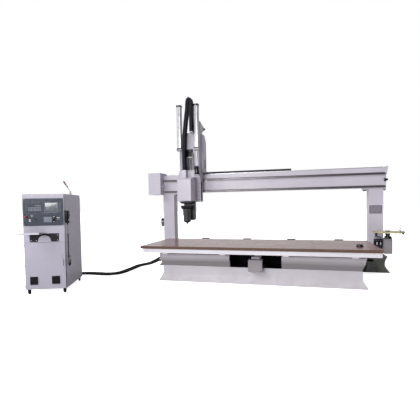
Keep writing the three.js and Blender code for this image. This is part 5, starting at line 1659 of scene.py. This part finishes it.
def mast():
    """The signal lamps on their leaning tube, and the foot on the cabinet's roof."""
    pivot = Vector(joint("mast_tilt")["pos_m"]) / MM
    lean = Matrix.Translation(pivot) @ CABINET.to_3x3().to_4x4() @ Matrix.Rotation(-MAST_LEAN, 4, "Y")
    shape = Shape("signal_lamps", "mast", ["white", "red", "amber", "green", "zinc", "black", "smoke"], lean)
    shape.turn("z", (0, 0), [(2, -12), (9, -9), (12, 0), (9, 9), (5.8, 13)], 20, 4)
    shape.turn("z", (0, 0), [(5.8, 11), (5.8, 92)], 16, 4)
    shape.turn("z", (0, 0), [(6.2, 88), (13.4, 97), (13.8, 102)], 24, 5)
    for i, look in enumerate((4, 6, 1)):
        low = 102 + i * 36
        profile = [(13.0, low)]
        for k in range(5):
            profile += [(13.9, low + 2 + k * 6.4), (13.0, low + 5.2 + k * 6.4)]
        profile += [(13.6, low + 34)]
        shape.turn("z", (0, 0), profile, 24, look)
        shape.turn("z", (0, 0), [(13.9, low + 33), (13.9, low + 36)], 24, 5)
    shape.turn("z", (0, 0), [(13.8, 209), (11, 218), (5, 221.6), (1, 222)], 24, 1)
    shape.done(bevel=0.3, replaces="signal_mast", slot="mast_plastic")
    foot = cab("mast_foot", "root", ["zinc", "dark_steel"])
    flange = [(19, CABINET_TOP - 1), (19, CABINET_TOP + 4), (15.5, CABINET_TOP + 6), (14.6, 1763)]
    foot.turn("z", MAST_AT, flange, 24, 0)
    foot.done(bevel=0.3, slot="fork_steel")


def casters():
    """The four wheels with tread, rims and hub bolts, and the axle nuts of the two swivel forks."""
    for corner in ("front_left", "front_right", "rear_left", "rear_right"):
        node, body = f"caster_wheel_{corner}", f"wheel_{corner}"
        hub = Vector(joint(f"{body}_roll")["pos_m"]) / MM
        place = Matrix.Translation(hub) @ CABINET.to_3x3().to_4x4()
        shape = Shape(f"tread_{body}", body, ["rubber", "black", "zinc"], place)
        shape.turn("x", (0, 0), [(26, -13), (33, -13), (35.6, -10), (36, -4), (36, 4), (35.6, 10), (33, 13),
                                 (26, 13)], 36, 0, caps=False)
        rim = ((26.4, 12.6), (23, 11), (21, 6), (9, 6), (8, 12.8), (3, 12.8))
        for side in (-1, 1):
            shape.turn("x", (0, 0), [(r, side * h) for r, h in rim], 30, 1)
        for t in turns(5):
            shape.turn("x", on_circle((0, 0), 15, t), [(3.2, -7), (3.2, 7)], 8, 2)
        shape.done(bevel=0.3, replaces=node, slot="rubber")
    for side in ("left", "right"):
        pivot = Vector(joint(f"caster_{side}_swivel")["pos_m"]) / MM
        place = Matrix.Translation((pivot.x, pivot.y, 0)) @ CABINET.to_3x3().to_4x4()
        shape = Shape(f"caster_axle_{side}", f"fork_{side}", ["zinc", "dark_steel"], place)
        for s in (-1, 1):
            shape.turn("x", (18, 36), [(5.5, s * 19), (5.5, s * 22), (3, s * 22.4)], 6, 0)
        shape.turn("z", (0, 0), [(23.5, 80), (24, 82), (21, 84.5)], 24, 1)
        shape.done(bevel=0.3, slot="fork_steel")


def pendant():
    """The pendant's case on its hook: rounded, narrower below, with axis switches, a stop and grips."""
    x0 = CABINET_WIDE + 10.0
    cy, wide, low, top = PENDANT_Y, 100.0, PENDANT_LOW, PENDANT_TOP
    shape = cab("pendant_case", "root", ["black", "rubber", "key", "red", "zinc", "panel"])
    rings = []
    for dx, inset in ((0, 7), (5, 0), (44, 0), (52, 6), (54.5, 13)):
        ring = []
        half = wide / 2 - inset
        for k, (sy, sz) in enumerate(((1, 1), (-1, 1), (-1, -1), (1, -1))):
            for i in range(5):
                t = TAU * (k / 4 + i / 16)
                r = max(4.0, 18 - inset * 0.5)
                mid_z = (top if sz > 0 else low) - sz * (r + inset)
                squeeze = 1.0 if sz > 0 else 0.90
                sideways = (sy * (half - r) + r * math.cos(t)) * squeeze
                ring.append((x0 + dx, cy + sideways, mid_z + r * math.sin(t)))
        rings.append(ring)
    shape.loft(rings, 0)
    face = x0 + 54.5
    shape.box((face - 1.5, face + 1.4), (cy - 34, cy + 34), (1325, 1412), 5, 4)
    for y in (cy - 19, cy + 19):
        shape.turn("x", (y, 1352), [(11, face), (11, face + 6), (7, face + 7), (7, face + 10.8)], 20, 0)
        shape.box((face + 9.5, face + 11.2), (y - 1.2, y + 1.2), (1352, 1360), 2)
    shape.turn("x", (cy, 1392), [(9, face), (9, face + 6), (7, face + 9)], 20, 3)
    for i in range(7):
        for y in (cy - wide / 2 + 1.5, cy + wide / 2 - 1.5):
            shape.box((x0 + 10, x0 + 40), (y - 3, y + 3), (1340 - i * 9, 1344 - i * 9), 1, 1)
    sleeve = ((13, 3), (11, -6), (7.5, -24), (4.2, -34), (3, -35))
    shape.turn("z", (x0 + 28, cy), [(r, low + h) for r, h in sleeve], 16, 1)
    shape.done(bevel=0.6, replaces="pendant", slot="black_plastic")


def handwheel():
    """The graduated wheel on the pendant and its finger knob."""
    hub = Vector(joint("handwheel_turn")["pos_m"]) / MM
    place = Matrix.Translation(hub) @ CABINET.to_3x3().to_4x4()
    wheel = Shape("handwheel", "handwheel", ["zinc", "black", "white"], place)
    base = -5.6
    rim = ((30, 0), (30, 3), (28, 4.5), (27, 9.5), (24, 11), (22, 9.8), (2, 9.8))
    wheel.turn("x", (0, 0), [(r, base + h) for r, h in rim], 48, 0)
    for t in turns(20):
        a, b = on_circle((0, 0), 26, t)
        wheel.box((base + 8.5, base + 11.0), (a - 0.7, a + 0.7), (b - 0.7, b + 0.7), 1)
    wheel.turn("x", (0, 16), [(5, base + 9), (5, base + 11.2), (3.5, base + 11.4)], 14, 1)
    wheel.done(bevel=0.2, replaces="pendant_wheel", slot="fork_steel")


operator_panel()
panel_controls()
cabinet_front()
cabinet_side()
shelf_things()
mast()
casters()
pendant()
handwheel()


# ------------------------------------------------------------------ stage

def studio_world():
    """White for the camera; the light it gives is stronger from the left and from behind."""
    world = bpy.data.worlds.new("studio")
    bpy.context.scene.world = world
    world.use_nodes = True
    tree = world.node_tree
    background = tree.nodes["Background"]
    place = tree.nodes.new("ShaderNodeTexCoord")
    split = tree.nodes.new("ShaderNodeSeparateXYZ")
    tree.links.new(place.outputs["Generated"], split.inputs[0])

    def ramp(value, low, high, a, b):
        node = tree.nodes.new("ShaderNodeMapRange")
        node.interpolation_type = "SMOOTHSTEP"
        for index, number in enumerate((low, high, a, b)):
            node.inputs[index + 1].default_value = number
        tree.links.new(value, node.inputs[0])
        return node.outputs[0]

    def combine(operation, a, b):
        node = tree.nodes.new("ShaderNodeMath")
        node.operation = operation
        for index, value in enumerate((a, b)):
            if hasattr(value, "is_output"):
                tree.links.new(value, node.inputs[index])
            else:
                node.inputs[index].default_value = value
        return node.outputs[0]

    sideways = ramp(split.outputs[0], -0.35, 0.55, 0.54, 0.20)
    behind = ramp(split.outputs[1], 0.0, 0.9, 0.0, 0.30)
    glow = combine("ADD", sideways, behind)
    seen = tree.nodes.new("ShaderNodeLightPath").outputs["Is Camera Ray"]
    strength = combine("ADD", combine("MULTIPLY", glow, combine("SUBTRACT", 1.0, seen)),
                       combine("MULTIPLY", seen, 1.0))
    background.inputs["Color"].default_value = (1, 1, 1, 1)
    tree.links.new(strength, background.inputs["Strength"])


def lamp(data, back, place=(0, 0, 0)):
    """A lamp at place whose light comes from the direction back."""
    thing = bpy.data.objects.new(data.name, data)
    thing.location = place
    thing.rotation_mode = "QUATERNION"
    thing.rotation_quaternion = back.to_track_quat("Z", "Y")
    bpy.context.scene.collection.objects.link(thing)


def studio_lights():
    """A soft sun from the front left, and a round window far in front."""
    sun = bpy.data.lights.new("key", "SUN")
    sun.energy, sun.angle = 1.7, math.radians(34)
    sun.color = (1.0, 0.99, 0.985)
    lamp(sun, Vector((-0.88, -0.80, 0.95)))
    window = bpy.data.lights.new("window", "AREA")
    window.shape, window.size, window.energy = "DISK", 3.5, 400.0
    place, aim = Vector((-3.2, -12.0, 3.2)), Vector((-1.2, -0.8, 1.0))
    lamp(window, place - aim, place)


def studio_floor():
    """A wide floor that the camera sees as white and the machine sees as pale grey."""
    mesh = bpy.data.meshes.new("floor")
    reach = 60.0
    mesh.from_pydata([(-reach, -reach, 0), (reach, -reach, 0), (reach, reach, 0), (-reach, reach, 0)], [],
                     [(0, 1, 2, 3)])
    floor = bpy.data.objects.new("floor", mesh)
    floor.location.z = -0.0005
    n = Nodes("studio_floor")
    pale = n.mix(n.span(n.noise(0.6, 5), 0.3, 0.7), (0.93, 0.93, 0.935), (0.96, 0.96, 0.96))
    seen = n.add("ShaderNodeLightPath").outputs["Is Camera Ray"]
    pale = n.mix(seen, (0.78, 0.77, 0.79), pale)
    mesh.materials.append(n.finish(pale, 0.8, specular=0.0))
    n.shader.inputs["Emission Color"].default_value = (1, 1, 1, 1)
    n.link(n.maths("MULTIPLY", seen, 0.85), n.shader.inputs["Emission Strength"])
    bpy.context.scene.collection.objects.link(floor)
    return floor


def stage():
    """Lights, floor and the plain colour transform."""
    studio_world()
    studio_lights()
    floor = studio_floor()
    bpy.context.scene.view_settings.view_transform = "Standard"
    bpy.context.scene.view_settings.look = "None"


stage()
